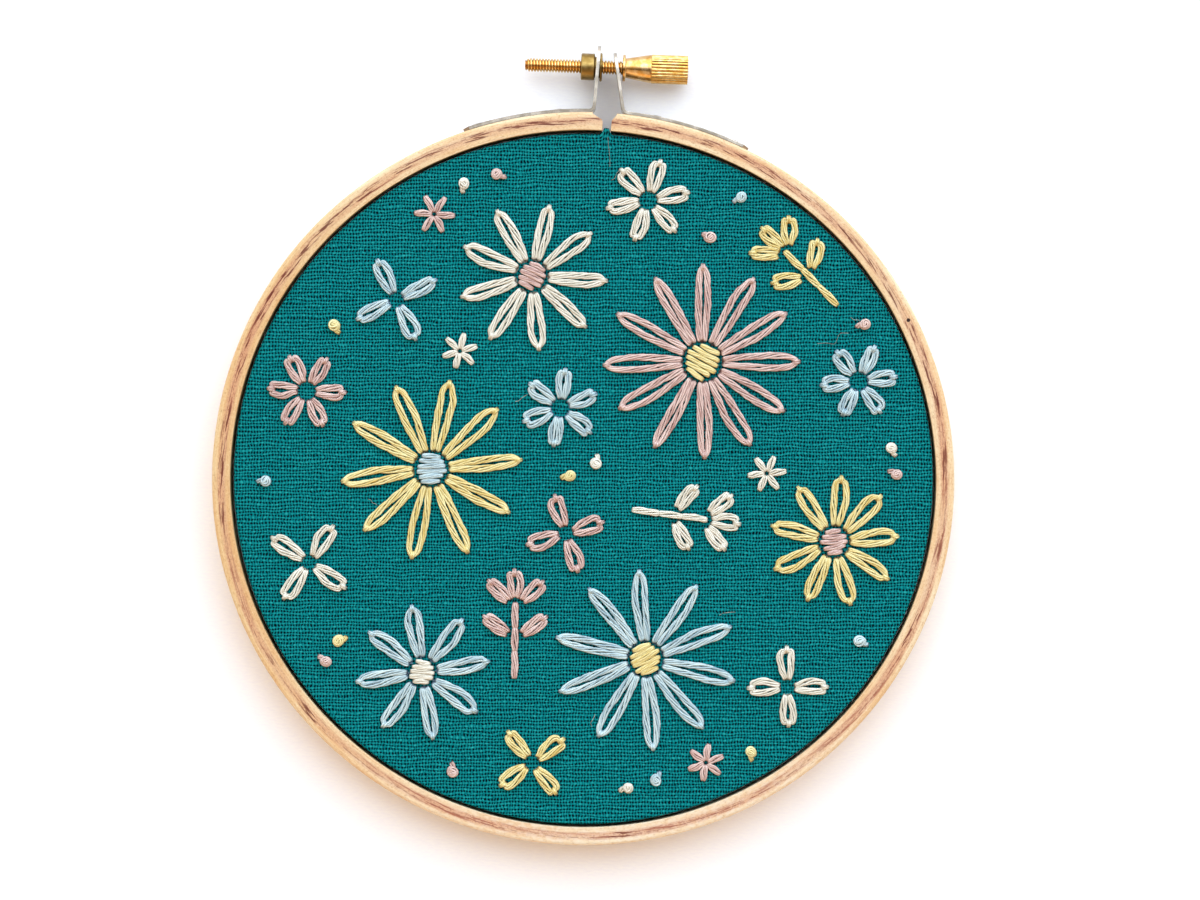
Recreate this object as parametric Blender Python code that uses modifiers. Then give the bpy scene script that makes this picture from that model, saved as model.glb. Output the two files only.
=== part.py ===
"""Embroidered cloth in a split wooden hoop with a tension screw, lying flat.

Metres, +Z up. The back edges of the two rings lie at z = 0, +Z points out of the embroidered face
and +Y points from the hoop's centre to its tension screw. The origin is at the middle of the
object's footprint, so the hoop's own centre sits a little below it, on the empty "hoop_centre".
"""
import math
from collections import namedtuple

import bmesh
import bpy
from mathutils import Vector

MM = 0.001

# Hoop: a six-inch one, sprung slightly out of round by its tension screw
RIM_INNER = 76.2 * MM
RIM_WALL = 4.1 * MM
RIM_OUTER = RIM_INNER + RIM_WALL
RIM_DEPTH = 9.5 * MM
RIM_EDGE = 0.7 * MM
HOOP_OVAL = 0.9875
SEAT_GAP = 0.3 * MM
ROUND_STEPS = 72

# Sawn gap of the outer ring, whose two ends are bevelled
GAP_LEFT = -0.95 * MM
GAP_RIGHT = 0.95 * MM
GAP_BEVEL_LEFT = -3.35 * MM
GAP_BEVEL_RIGHT = 1.76 * MM
GAP_BEVEL_START = 77.3 * MM

# Cloth: a disc stretched over the inner ring and tucked between the rings
CLOTH_THICK = 1.0 * MM
CLOTH_SUNK = 1.0 * MM
CLOTH_FOLD = 0.7 * MM
CLOTH_HEM = 1.0 * MM
CLOTH_TOP = RIM_DEPTH - CLOTH_SUNK
CLOTH_OUTER = RIM_INNER - SEAT_GAP

# Inner ring, under the cloth
INNER_WALL = 4.0 * MM
INNER_OUTER = CLOTH_OUTER - CLOTH_THICK - SEAT_GAP
INNER_INNER = INNER_OUTER - INNER_WALL
INNER_TOP = CLOTH_TOP - CLOTH_THICK - SEAT_GAP

# Steel brackets: one bent strip on each side of the gap
STRIP_THICK = 0.7 * MM
STRIP_WIDTH = 7.5 * MM
FOOT_REACH = 22.5
FOOT_TAPER = 0.9
FOOT_END_WIDTH = 0.7
FOOT_STEPS = 8
BEND_REACH = 1.2 * MM
RIVET_ANGLES = (7.6, 20.3)
RIVET_HEAD_RADIUS = 1.65 * MM
RIVET_HEAD_HEIGHT = 0.45 * MM
RIVET_SHANK_RADIUS = 0.6 * MM
RIVET_HOLE_RADIUS = 0.9 * MM
RIVET_DEPTH = 2.4 * MM

# Tension screw: its axis runs a little askew, at the middle of the rim's depth
SCREW_Y = 89.5 * MM
SCREW_Z = RIM_DEPTH / 2
SCREW_SKEW = 1.8
SCREW_TIP = -18.6 * MM
SCREW_END = 16.8 * MM
THREAD_RADIUS = 1.475 * MM
COLLAR_START = 2.6 * MM
COLLAR_END = 3.2 * MM
COLLAR_RADIUS = 2.9 * MM
NECK_RADIUS = 2.1 * MM
BARREL_START = 8.7 * MM
BARREL_RADIUS = 3.12 * MM
KNURLS = 22
KNURL_DEPTH = 0.32 * MM
SCREW_HOLE_RADIUS = 1.85 * MM

# Brass nut, held in the left ear
NUT_BODY_END = -6.45 * MM
NUT_NECK = (-3.5 * MM, -2.1 * MM)
NUT_FLANGE_END = -1.5 * MM
NUT_BODY_RADIUS = 2.9 * MM
NUT_NECK_RADIUS = 2.2 * MM
NUT_FLANGE_RADIUS = 3.18 * MM
NUT_BORE_RADIUS = 1.8 * MM
NUT_HOLE_RADIUS = 2.55 * MM

# Stitches of six-strand floss, standing on the cloth
FLOSS_WIDTH = 1.5 * MM
FLOSS_HEIGHT = 0.8 * MM
FLOSS_BASE = CLOTH_TOP + SEAT_GAP
PETAL_HALF = 2.3 * MM
PETAL_FOOT_HALF = 0.8 * MM
STEM_HALF = 0.72 * MM
HUB_WALL = 0.9 * MM
KNOT_RADIUS = 1.35 * MM

# Sprig: a stem with two leaves on its hub and a bud of three loops on its end
SPRIG_HUB = 1.9 * MM
SPRIG_FOOT = 8.5 * MM
SPRIG_RISE = 6.2 * MM
SPRIG_LOOP = 8.6 * MM
SPRIG_BUD_HUB = 2.2 * MM
SPRIG_BUD_RISE = 0.4 * MM
LEAF_LEAN = 55.0
BUD_LEANS = (-44.0, 0.0, 44.0)

Ear = namedtuple("Ear", "side base_x top_x top_y")
EARS = {"left": Ear(-1, -3.0 * MM, -2.7 * MM, 94.0 * MM),
        "right": Ear(1, 3.4 * MM, 0.7 * MM, 92.7 * MM)}

# Motifs, placed in millimetres from the hoop's centre; hub is the radius where the petals start
Flower = namedtuple("Flower", "name x y petals reach hub turn floss centre")
DAISIES = [
    Flower("daisy_rose", 24.0, 27.0, 12, 21.5, 4.4, 4.0, "rose", "lemon"),
    Flower("daisy_lemon_left", -33.0, 0.0, 10, 20.0, 3.9, 10.0, "lemon", "sky"),
    Flower("daisy_sky_low", 16.0, -38.0, 10, 20.0, 3.9, 25.0, "sky", "lemon"),
    Flower("daisy_ecru", -14.0, 43.0, 9, 16.5, 3.6, 0.0, "ecru", "rose"),
    Flower("daisy_sky_left", -32.0, -44.0, 8, 15.0, 3.3, 12.0, "sky", "ecru"),
    Flower("daisy_lemon_right", 55.0, -10.0, 9, 14.5, 3.5, 8.0, "lemon", "rose"),
]
BLOSSOMS = [
    Flower("blossom_ecru_top", 10.0, 61.0, 6, 9.5, 2.0, 15.0, "ecru", None),
    Flower("blossom_sky_left", -43.0, 36.0, 4, 10.0, 1.6, 30.0, "sky", None),
    Flower("blossom_rose_left", -61.0, 15.0, 6, 8.8, 2.0, 0.0, "rose", None),
    Flower("blossom_ecru_left", -58.0, -22.0, 4, 10.0, 1.6, 60.0, "ecru", None),
    Flower("blossom_rose_middle", -3.0, -12.0, 4, 9.0, 1.6, 20.0, "rose", None),
    Flower("blossom_sky_middle", -6.0, 15.0, 6, 8.8, 2.0, 25.0, "sky", None),
    Flower("blossom_sky_right", 58.0, 25.0, 6, 8.6, 2.0, 10.0, "sky", None),
    Flower("blossom_ecru_right", 47.0, -42.0, 4, 9.0, 1.6, 5.0, "ecru", None),
    Flower("blossom_lemon_low", -7.0, -62.0, 4, 9.0, 1.6, 40.0, "lemon", None),
]

# Sprigs and stars: heading is the way a stem points, in degrees from +X
Sprig = namedtuple("Sprig", "name x y heading floss")
SPRIGS = [
    Sprig("sprig_lemon", 46.0, 46.8, 138.0, "lemon"),
    Sprig("sprig_ecru", 19.5, -6.5, -4.0, "ecru"),
    Sprig("sprig_rose", -12.5, -35.5, 93.0, "rose"),
]
Star = namedtuple("Star", "name x y arms reach turn floss")
STARS = [
    Star("star_ecru_right", 39.5, 3.8, 6, 4.2, 10.0, "ecru"),
    Star("star_rose_low", 30.5, -59.5, 6, 4.2, 25.0, "rose"),
    Star("star_rose_top", -36.0, 55.0, 6, 4.5, 0.0, "rose"),
    Star("star_ecru_left", -28.5, 25.8, 6, 4.0, 20.0, "ecru"),
]
Knot = namedtuple("Knot", "x y floss")
KNOTS = [
    Knot(-30.0, 62.0, "ecru"), Knot(-23.0, 64.5, "rose"), Knot(30.0, 63.0, "sky"),
    Knot(24.0, 54.0, "rose"), Knot(58.5, 37.5, "rose"), Knot(66.0, 11.0, "ecru"),
    Knot(67.5, 5.5, "rose"), Knot(62.0, -31.0, "sky"), Knot(40.0, -56.5, "lemon"),
    Knot(14.0, -66.0, "ecru"), Knot(20.0, -64.0, "sky"), Knot(-24.0, -65.0, "rose"),
    Knot(-53.0, -43.0, "rose"), Knot(-50.5, -38.5, "lemon"), Knot(-68.5, -5.0, "sky"),
    Knot(-56.0, 29.5, "lemon"), Knot(-3.0, 0.5, "lemon"), Knot(2.5, 3.5, "ecru"),
]

FLOSS_COLOURS = {"rose": (0.58, 0.40, 0.36), "lemon": (0.80, 0.68, 0.28),
                 "sky": (0.42, 0.56, 0.62), "ecru": (0.70, 0.68, 0.58)}

PARTS = "hoop_embroidery"
CUTTERS = "cutters"


def clear_scene():
    for obj in list(bpy.data.objects):
        bpy.data.objects.remove(obj, do_unlink=True)


def collection(name):
    found = bpy.data.collections.get(name)
    if found is None:
        found = bpy.data.collections.new(name)
        bpy.context.scene.collection.children.link(found)
    return found


def material(name, colour, roughness, metallic=0.0):
    mat = bpy.data.materials.get(name) or bpy.data.materials.new(name)
    mat.use_nodes = True
    shader = mat.node_tree.nodes["Principled BSDF"]
    shader.inputs["Base Color"].default_value = (*colour, 1.0)
    shader.inputs["Roughness"].default_value = roughness
    shader.inputs["Metallic"].default_value = metallic
    return mat


def wood():
    return material("pale_beech", (0.74, 0.52, 0.34), 0.55)


def linen():
    return material("teal_linen", (0.01, 0.16, 0.19), 0.9)


def steel():
    return material("zinc_plated_steel", (0.55, 0.54, 0.52), 0.35, 1.0)


def brass():
    return material("bright_brass", (0.78, 0.54, 0.22), 0.25, 1.0)


def floss(tone):
    return material("floss_" + tone, FLOSS_COLOURS[tone], 0.6)


def empty(name, location, parent=None, turn=(0.0, 0.0, 0.0)):
    obj = bpy.data.objects.new(name, None)
    collection(PARTS).objects.link(obj)
    obj.location = location
    obj.rotation_euler = turn
    obj.parent = parent
    return obj


def add_piece(name, data, mat, parent):
    obj = bpy.data.objects.new(name, data)
    data.materials.append(mat)
    collection(PARTS).objects.link(obj)
    obj.parent = parent
    return obj


def add_cutter(name, mesh, parent):
    obj = bpy.data.objects.new(name, mesh)
    collection(CUTTERS).objects.link(obj)
    obj.parent = parent
    obj.hide_render = True
    obj.display_type = "WIRE"
    return obj


def cut(obj, cutter):
    mod = obj.modifiers.new("cut_" + cutter.name, "BOOLEAN")
    mod.operation = "DIFFERENCE"
    mod.solver = "EXACT"
    mod.object = cutter


def turned(name, profile, mat, parent, steps, closed):
    """Turns a profile of (radius, height) points round local Z; it runs down its outer side."""
    mesh = bpy.data.meshes.new(name)
    points = [(radius, 0.0, height) for radius, height in profile]
    edges = [(i, i + 1) for i in range(len(points) - 1)]
    if closed:
        edges.append((len(points) - 1, 0))
    mesh.from_pydata(points, edges, [])
    obj = add_piece(name, mesh, mat, parent)
    screw = obj.modifiers.new("turn", "SCREW")
    screw.axis = "Z"
    screw.angle = math.tau
    screw.steps = steps
    screw.render_steps = steps
    screw.use_merge_vertices = True
    screw.merge_threshold = 0.00001
    screw.use_smooth_shade = True
    return obj


def ring_section(inner, outer, low, high, edge):
    """Cross-section of a bent wooden ring, with its four long edges eased."""
    return [(outer, high - edge), (outer, low + edge), (outer - edge, low), (inner + edge, low),
            (inner, low + edge), (inner, high - edge), (inner + edge, high), (outer - edge, high)]


def cylinder_mesh(name, radius, low, high, sides):
    """A closed cylinder along local Z, from low to high."""
    bm = bmesh.new()
    bmesh.ops.create_cone(bm, cap_ends=True, segments=sides, radius1=radius, radius2=radius,
                          depth=high - low)
    bmesh.ops.translate(bm, verts=bm.verts, vec=(0.0, 0.0, (low + high) / 2))
    mesh = bpy.data.meshes.new(name)
    bm.to_mesh(mesh)
    bm.free()
    return mesh


def prism_mesh(name, outline, low, high):
    """A closed prism over a flat outline that runs anticlockwise."""
    bm = bmesh.new()
    face = bm.faces.new([bm.verts.new((x, y, low)) for x, y in outline])
    grown = bmesh.ops.extrude_face_region(bm, geom=[face])["geom"]
    top = [item for item in grown if isinstance(item, bmesh.types.BMVert)]
    bmesh.ops.translate(bm, verts=top, vec=(0.0, 0.0, high - low))
    bmesh.ops.recalc_face_normals(bm, faces=bm.faces)
    mesh = bpy.data.meshes.new(name)
    bm.to_mesh(mesh)
    bm.free()
    return mesh


def rim_point(angle, beyond):
    """A point beyond the rim's outer wall, at an angle in degrees from the gap towards +X."""
    turn = math.radians(angle)
    radius = RIM_OUTER + beyond
    return Vector((radius * math.sin(turn), radius * math.cos(turn) * HOOP_OVAL))


def radial_empty(name, angle, hoop):
    """An empty on the rim's outer wall whose local Z points straight out of the hoop."""
    spot = rim_point(angle, 0.0)
    turn = (-math.pi / 2, 0.0, -math.radians(angle))
    return empty(name, (spot.x, spot.y, SCREW_Z), hoop, turn)


def make_outer_ring(hoop, seats):
    section = ring_section(RIM_INNER, RIM_OUTER, 0.0, RIM_DEPTH, RIM_EDGE)
    ring = turned("outer_ring", section, wood(), hoop, ROUND_STEPS, closed=True)
    ring.scale.y = HOOP_OVAL
    spare = 3 * MM
    bevel_top = RIM_OUTER + spare
    outline = [(GAP_LEFT, RIM_INNER - spare), (GAP_RIGHT, RIM_INNER - spare),
               (GAP_RIGHT, GAP_BEVEL_START), (GAP_BEVEL_RIGHT, RIM_OUTER * HOOP_OVAL),
               (GAP_BEVEL_RIGHT, bevel_top), (GAP_BEVEL_LEFT, bevel_top),
               (GAP_BEVEL_LEFT, RIM_OUTER * HOOP_OVAL), (GAP_LEFT, GAP_BEVEL_START)]
    cut(ring, add_cutter("gap", prism_mesh("gap", outline, -spare, RIM_DEPTH + spare), hoop))
    for name, seat in seats.items():
        hole = cylinder_mesh(name, RIVET_HOLE_RADIUS, -RIVET_DEPTH - SEAT_GAP, spare, 12)
        cut(ring, add_cutter(name + "_ring_hole", hole, seat))


def make_inner_ring(hoop):
    section = ring_section(INNER_INNER, INNER_OUTER, 0.0, INNER_TOP, RIM_EDGE)
    ring = turned("inner_ring", section, wood(), hoop, ROUND_STEPS, closed=True)
    ring.scale.y = HOOP_OVAL


def make_cloth(hoop):
    inside = CLOTH_OUTER - CLOTH_THICK
    profile = [(0.0, CLOTH_TOP), (CLOTH_OUTER - CLOTH_FOLD, CLOTH_TOP),
               (CLOTH_OUTER - CLOTH_FOLD * 0.3, CLOTH_TOP - CLOTH_FOLD * 0.3),
               (CLOTH_OUTER, CLOTH_TOP - CLOTH_FOLD), (CLOTH_OUTER, CLOTH_HEM),
               (inside, CLOTH_HEM), (inside, CLOTH_TOP - CLOTH_THICK),
               (0.0, CLOTH_TOP - CLOTH_THICK)]
    cloth = turned("cloth", profile, linen(), hoop, ROUND_STEPS, closed=False)
    cloth.scale.y = HOOP_OVAL


def bracket_columns(ear):
    """Centre line of a bracket as (point, strip width): along the foot, round the bend, up the ear."""
    line = SEAT_GAP + STRIP_THICK / 2
    corner_angle = math.degrees(math.asin(abs(ear.base_x) / RIM_OUTER))
    corner = rim_point(ear.side * corner_angle, line)
    top = Vector((ear.top_x, ear.top_y))
    up = (top - corner).normalized()
    bend_angle = corner_angle + math.degrees(BEND_REACH / RIM_OUTER)

    columns = [(rim_point(ear.side * FOOT_REACH, line), STRIP_WIDTH * FOOT_END_WIDTH)]
    for step in range(FOOT_STEPS + 1):
        share = step / FOOT_STEPS
        angle = (FOOT_REACH - FOOT_TAPER) * (1 - share) + bend_angle * share
        columns.append((rim_point(ear.side * angle, line), STRIP_WIDTH))
    bend_start = columns[-1][0]
    bend_end = corner + up * BEND_REACH
    for share in (0.33, 0.67, 1.0):
        point = bend_start * (1 - share) ** 2 + corner * 2 * share * (1 - share) + bend_end * share ** 2
        columns.append((point, STRIP_WIDTH))
    round_radius = STRIP_WIDTH / 2
    round_turns = [math.radians(degrees) for degrees in (90, 65, 42, 22)]
    for turn in round_turns:
        point = top - up * round_radius * (math.cos(round_turns[-1]) - math.cos(turn))
        columns.append((point, STRIP_WIDTH * math.sin(turn)))
    return columns


def make_bracket(name, ear, hoop, hole_radius, screw_axis, seats):
    bm = bmesh.new()
    rows = [[bm.verts.new((point.x, point.y, SCREW_Z + side * width / 2)) for side in (-1, 1)]
            for point, width in bracket_columns(ear)]
    for near, far in zip(rows, rows[1:]):
        bm.faces.new((near[0], far[0], far[1], near[1]))
    mesh = bpy.data.meshes.new(name)
    bm.to_mesh(mesh)
    bm.free()
    strip = add_piece(name, mesh, steel(), hoop)
    thick = strip.modifiers.new("sheet", "SOLIDIFY")
    thick.thickness = STRIP_THICK
    thick.offset = 0.0
    thick.use_even_offset = True
    reach = 5 * MM
    hole = cylinder_mesh(name + "_hole", hole_radius, ear.base_x - reach, ear.base_x + reach, 20)
    cut(strip, add_cutter(name + "_hole", hole, screw_axis))
    for seat_name, seat in seats.items():
        rivet_hole = cylinder_mesh(seat_name, RIVET_HOLE_RADIUS, -MM, 3 * MM, 12)
        cut(strip, add_cutter(seat_name + "_strip_hole", rivet_hole, seat))


def make_rivet(name, seat):
    under = 2 * SEAT_GAP + STRIP_THICK
    profile = [(0.0, under + RIVET_HEAD_HEIGHT), (RIVET_HEAD_RADIUS * 0.6, under + RIVET_HEAD_HEIGHT),
               (RIVET_HEAD_RADIUS, under + RIVET_HEAD_HEIGHT * 0.4), (RIVET_HEAD_RADIUS, under),
               (RIVET_SHANK_RADIUS, under), (RIVET_SHANK_RADIUS, -RIVET_DEPTH), (0.0, -RIVET_DEPTH)]
    turned(name, profile, steel(), seat, 12, closed=False)


def make_nut(screw_axis):
    profile = [(NUT_FLANGE_RADIUS, NUT_FLANGE_END), (NUT_FLANGE_RADIUS, NUT_NECK[1]),
               (NUT_NECK_RADIUS, NUT_NECK[1]), (NUT_NECK_RADIUS, NUT_NECK[0]),
               (NUT_BODY_RADIUS, NUT_NECK[0]), (NUT_BODY_RADIUS, NUT_BODY_END),
               (NUT_BORE_RADIUS, NUT_BODY_END), (NUT_BORE_RADIUS, NUT_FLANGE_END)]
    turned("nut", profile, brass(), screw_axis, 24, closed=True)


def make_tension_screw(screw_axis):
    chamfer = 0.3 * MM
    tip_radius = 1.0 * MM
    profile = [(0.0, SCREW_END), (BARREL_RADIUS - chamfer, SCREW_END),
               (BARREL_RADIUS, SCREW_END - chamfer), (BARREL_RADIUS, BARREL_START),
               (NECK_RADIUS, COLLAR_END), (COLLAR_RADIUS, COLLAR_END),
               (COLLAR_RADIUS, COLLAR_START), (THREAD_RADIUS, COLLAR_START),
               (THREAD_RADIUS, SCREW_TIP + chamfer), (tip_radius, SCREW_TIP), (0.0, SCREW_TIP)]
    screw = turned("tension_screw", profile, brass(), screw_axis, KNURLS, closed=False)
    bm = bmesh.new()
    for index in range(KNURLS):
        angle = (index + 0.5) * math.tau / KNURLS
        floor = (BARREL_RADIUS - KNURL_DEPTH, 0.0)
        mouth = BARREL_RADIUS + KNURL_DEPTH
        outline = [floor, (mouth, -2 * KNURL_DEPTH), (mouth, 2 * KNURL_DEPTH)]
        low = BARREL_START + 0.2 * MM
        high = SCREW_END + MM
        turn = [(x * math.cos(angle) - y * math.sin(angle), x * math.sin(angle) + y * math.cos(angle))
                for x, y in outline]
        groove = prism_mesh("groove", turn, low, high)
        bm.from_mesh(groove)
        bpy.data.meshes.remove(groove)
    grooves = bpy.data.meshes.new("knurl_grooves")
    bm.to_mesh(grooves)
    bm.free()
    cut(screw, add_cutter("knurl_grooves", grooves, screw_axis))


def turn_points(points, degrees, shift=(0.0, 0.0)):
    turn = math.radians(degrees)
    return [(x * math.cos(turn) - y * math.sin(turn) + shift[0],
             x * math.sin(turn) + y * math.cos(turn) + shift[1]) for x, y in points]


def petal_edge(hub, reach):
    """A lazy-daisy loop along +X: narrow at the hub, widest near its tip, with its anchor stitch."""
    half = min(PETAL_HALF, 0.3 * (reach - hub))
    middle = hub + 0.5 * (reach - hub)
    right = [(hub, -PETAL_FOOT_HALF), (middle, -0.85 * half), (reach - half, -half),
             (reach, -0.3 * half)]
    return right + [(x, -y) for x, y in reversed(right)]


def petal_slit(hub, reach):
    """The slit of bare cloth inside a loop."""
    half = min(PETAL_HALF, 0.3 * (reach - hub))
    start = hub + 0.18 * (reach - hub)
    end = reach - FLOSS_WIDTH
    widest = start + 0.68 * (end - start)
    gap = max(half - 0.85 * FLOSS_WIDTH, 0.45 * MM)
    return [(start, 0.0), (widest, -gap), (end, 0.0), (widest, gap)]


def stem_edge(hub, reach):
    """A straight stitch along +X, without its end."""
    return [(hub, -STEM_HALF), (reach, -STEM_HALF)], [(reach, STEM_HALF), (hub, STEM_HALF)]


def flower_outline(petals, hub, reach, turn):
    """Splines of a flower: its edge, then the slit of each loop."""
    edge = []
    slits = []
    for index in range(petals):
        angle = turn + index * 360.0 / petals
        edge += turn_points(petal_edge(hub, reach), angle)
        slits.append(turn_points(petal_slit(hub, reach), angle))
    return [edge] + slits


def circle_points(radius, sides):
    return [(radius * math.cos(i * math.tau / sides), radius * math.sin(i * math.tau / sides))
            for i in range(sides)]


def sprig_outline():
    """Splines of a sprig along +X: its edge, then the slit of each loop."""
    foot_right, foot_left = stem_edge(SPRIG_HUB, SPRIG_FOOT)
    rise_right, rise_left = stem_edge(SPRIG_HUB, SPRIG_RISE)
    leaf = petal_edge(SPRIG_HUB, SPRIG_LOOP)
    bud = petal_edge(SPRIG_BUD_HUB, SPRIG_LOOP)
    crown = (SPRIG_RISE + SPRIG_BUD_RISE, 0.0)
    edge = turn_points(foot_right + foot_left, 180.0) + turn_points(leaf, -LEAF_LEAN) + rise_right
    for lean in BUD_LEANS:
        edge += turn_points(bud, lean, crown)
    edge += rise_left + turn_points(leaf, LEAF_LEAN)
    slits = [turn_points(petal_slit(SPRIG_HUB, SPRIG_LOOP), lean) for lean in (-LEAF_LEAN, LEAF_LEAN)]
    slits += [turn_points(petal_slit(SPRIG_BUD_HUB, SPRIG_LOOP), lean, crown) for lean in BUD_LEANS]
    return [edge] + slits


def star_outline(arms, reach, turn):
    hub = STEM_HALF / math.sin(math.pi / arms)
    edge = []
    for index in range(arms):
        right, left = stem_edge(hub, reach)
        edge += turn_points(right + left, turn + index * 360.0 / arms)
    return [edge]


def flat_motif(name, splines, x, y, turn, tone, hoop):
    """A flat solid of floss over closed splines, of which the later ones are holes."""
    curve = bpy.data.curves.new(name, "CURVE")
    curve.dimensions = "2D"
    curve.fill_mode = "BOTH"
    curve.extrude = FLOSS_HEIGHT / 2
    for points in splines:
        spline = curve.splines.new("POLY")
        spline.points.add(len(points) - 1)
        for point, (px, py) in zip(spline.points, points):
            point.co = (px, py, 0.0, 1.0)
        spline.use_cyclic_u = True
    motif = add_piece(name, curve, floss(tone), hoop)
    motif.location = (x * MM, y * MM, FLOSS_BASE + FLOSS_HEIGHT / 2)
    motif.rotation_euler.z = math.radians(turn)


def low_dome(name, radius, height, x, y, tone, hoop, steps):
    """A low round boss of floss, as a satin centre or a knot makes."""
    profile = [(0.0, height), (0.55 * radius, 0.9 * height), (0.9 * radius, 0.55 * height),
               (radius, 0.0), (0.0, 0.0)]
    dome = turned(name, profile, floss(tone), hoop, steps, closed=False)
    dome.location = (x * MM, y * MM, FLOSS_BASE)


def make_embroidery(hoop):
    for flower in DAISIES:
        hub = flower.hub * MM
        hole = hub - HUB_WALL
        splines = flower_outline(flower.petals, hub, flower.reach * MM, flower.turn)
        splines.append(circle_points(hole, 16))
        flat_motif(flower.name, splines, flower.x, flower.y, 0.0, flower.floss, hoop)
        centre = flower.name + "_centre"
        low_dome(centre, hole - SEAT_GAP, FLOSS_HEIGHT, flower.x, flower.y, flower.centre, hoop, 12)
    for flower in BLOSSOMS:
        splines = flower_outline(flower.petals, flower.hub * MM, flower.reach * MM, flower.turn)
        flat_motif(flower.name, splines, flower.x, flower.y, 0.0, flower.floss, hoop)
    for sprig in SPRIGS:
        flat_motif(sprig.name, sprig_outline(), sprig.x, sprig.y, sprig.heading, sprig.floss, hoop)
    for star in STARS:
        outline = star_outline(star.arms, star.reach * MM, star.turn)
        flat_motif(star.name, outline, star.x, star.y, 0.0, star.floss, hoop)
    for index, knot in enumerate(KNOTS):
        name = f"knot_{index + 1:02d}"
        low_dome(name, KNOT_RADIUS, FLOSS_HEIGHT, knot.x, knot.y, knot.floss, hoop, 8)


def build():
    clear_scene()
    top_y = max(ear.top_y for ear in EARS.values())
    centre_y = -(top_y - RIM_OUTER * HOOP_OVAL) / 2
    hoop = empty("hoop_centre", (0.0, centre_y, 0.0))
    screw_turn = (0.0, math.pi / 2, math.radians(SCREW_SKEW))
    screw_axis = empty("screw_axis", (0.0, SCREW_Y, SCREW_Z), hoop, screw_turn)

    seats = {}
    for side, ear in EARS.items():
        for place, angle in zip(("near", "far"), RIVET_ANGLES):
            name = f"rivet_{side}_{place}"
            seats[name] = radial_empty(name + "_seat", ear.side * angle, hoop)
            make_rivet(name, seats[name])

    make_outer_ring(hoop, seats)
    make_inner_ring(hoop)
    make_cloth(hoop)
    for side, hole_radius in (("left", NUT_HOLE_RADIUS), ("right", SCREW_HOLE_RADIUS)):
        own = {name: seat for name, seat in seats.items() if side in name}
        make_bracket("bracket_" + side, EARS[side], hoop, hole_radius, screw_axis, own)
    make_nut(screw_axis)
    make_tension_screw(screw_axis)
    make_embroidery(hoop)


build()
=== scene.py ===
# %% [markdown]
# # An embroidered hoop, dressed stitch by stitch
#
# The object is a small piece of hand embroidery that stays in the hoop it was worked in: two bent
# rings of pale wood, teal cloth stretched between them, a brass tension screw in two steel ears, and
# flowers in stranded cotton. A fixed model of it is loaded first. It says where every piece is and
# how large. This lesson gives each piece its real surface, and never moves or resizes anything.

# %% Load the fixed model and keep its size
import math
import random
from collections import namedtuple

import bmesh
import bpy
import numpy as np
from mathutils import Matrix, Vector


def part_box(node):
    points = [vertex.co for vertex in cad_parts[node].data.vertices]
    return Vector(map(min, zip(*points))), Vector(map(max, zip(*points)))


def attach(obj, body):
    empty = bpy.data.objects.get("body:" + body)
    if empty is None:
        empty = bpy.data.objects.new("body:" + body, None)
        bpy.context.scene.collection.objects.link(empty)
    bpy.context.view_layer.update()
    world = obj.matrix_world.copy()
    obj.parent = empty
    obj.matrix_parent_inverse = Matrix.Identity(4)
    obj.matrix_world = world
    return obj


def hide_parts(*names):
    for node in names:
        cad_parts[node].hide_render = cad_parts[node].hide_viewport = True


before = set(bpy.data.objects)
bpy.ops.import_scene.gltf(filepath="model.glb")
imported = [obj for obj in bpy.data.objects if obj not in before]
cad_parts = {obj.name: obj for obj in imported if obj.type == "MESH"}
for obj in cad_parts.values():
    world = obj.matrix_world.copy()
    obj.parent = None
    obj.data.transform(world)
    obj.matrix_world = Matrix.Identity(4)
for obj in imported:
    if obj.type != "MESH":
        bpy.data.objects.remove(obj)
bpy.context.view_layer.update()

# %% [markdown]
# ## Measures
#
# All sizes are in metres, and MM turns millimetres into them. The hoop is a hair lower than it is
# wide, because the screw pulls its split ring together. Its own centre is read from the cloth, so a
# point given from the hoop's centre needs only one shift to lie in the model.

# %% Sizes that several pieces share
MM = 0.001
HOOP, SCREW = "hoop", "screw"

cloth_low, cloth_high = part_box("cloth")
CENTRE = Vector(((cloth_low[0] + cloth_high[0]) / 2, (cloth_low[1] + cloth_high[1]) / 2, 0.0))
CLOTH_TOP = cloth_high[2]
CLOTH_RADIUS = (cloth_high[0] - cloth_low[0]) / 2
HOOP_OVAL = (cloth_high[1] - cloth_low[1]) / (cloth_high[0] - cloth_low[0])
rim_low, rim_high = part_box("outer_ring")
RIM_OUTER = (rim_high[0] - rim_low[0]) / 2
RIM_INNER = 76.38 * MM
RIM_DEPTH = rim_high[2]
SCREW_Z = RIM_DEPTH / 2
CAMERA_ROLL = math.radians(3.8)


def from_centre(x, y, z=0.0):
    """A point given from the hoop's centre, as a point of the model."""
    return Vector((CENTRE.x + x, CENTRE.y + y, z))


print("hoop centre", [round(v / MM, 2) for v in CENTRE], "oval", round(HOOP_OVAL, 4),
      "cloth top", round(CLOTH_TOP / MM, 2))

# %% [markdown]
# ## Nodes that read like formulas
#
# Colours are written as the hex values that a paint program shows. Blender's shaders want linear
# light, so one function converts them. Shader trees and geometry trees are both built from nodes, so
# one function adds a node, sets it and links it. What comes out of a node is kept as a Value. Values
# are added, subtracted and multiplied like numbers, and each such step becomes a Math node, so a
# pattern that is worked out from coordinates can be read as the formula that it is.

# %% Colour and node helpers
def colour(code):
    """The linear colour of an sRGB hex code."""
    parts = [int(code[i:i + 2], 16) / 255 for i in (1, 3, 5)]
    return (*[p / 12.92 if p <= 0.04045 else ((p + 0.055) / 1.055) ** 2.4 for p in parts], 1.0)


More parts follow.
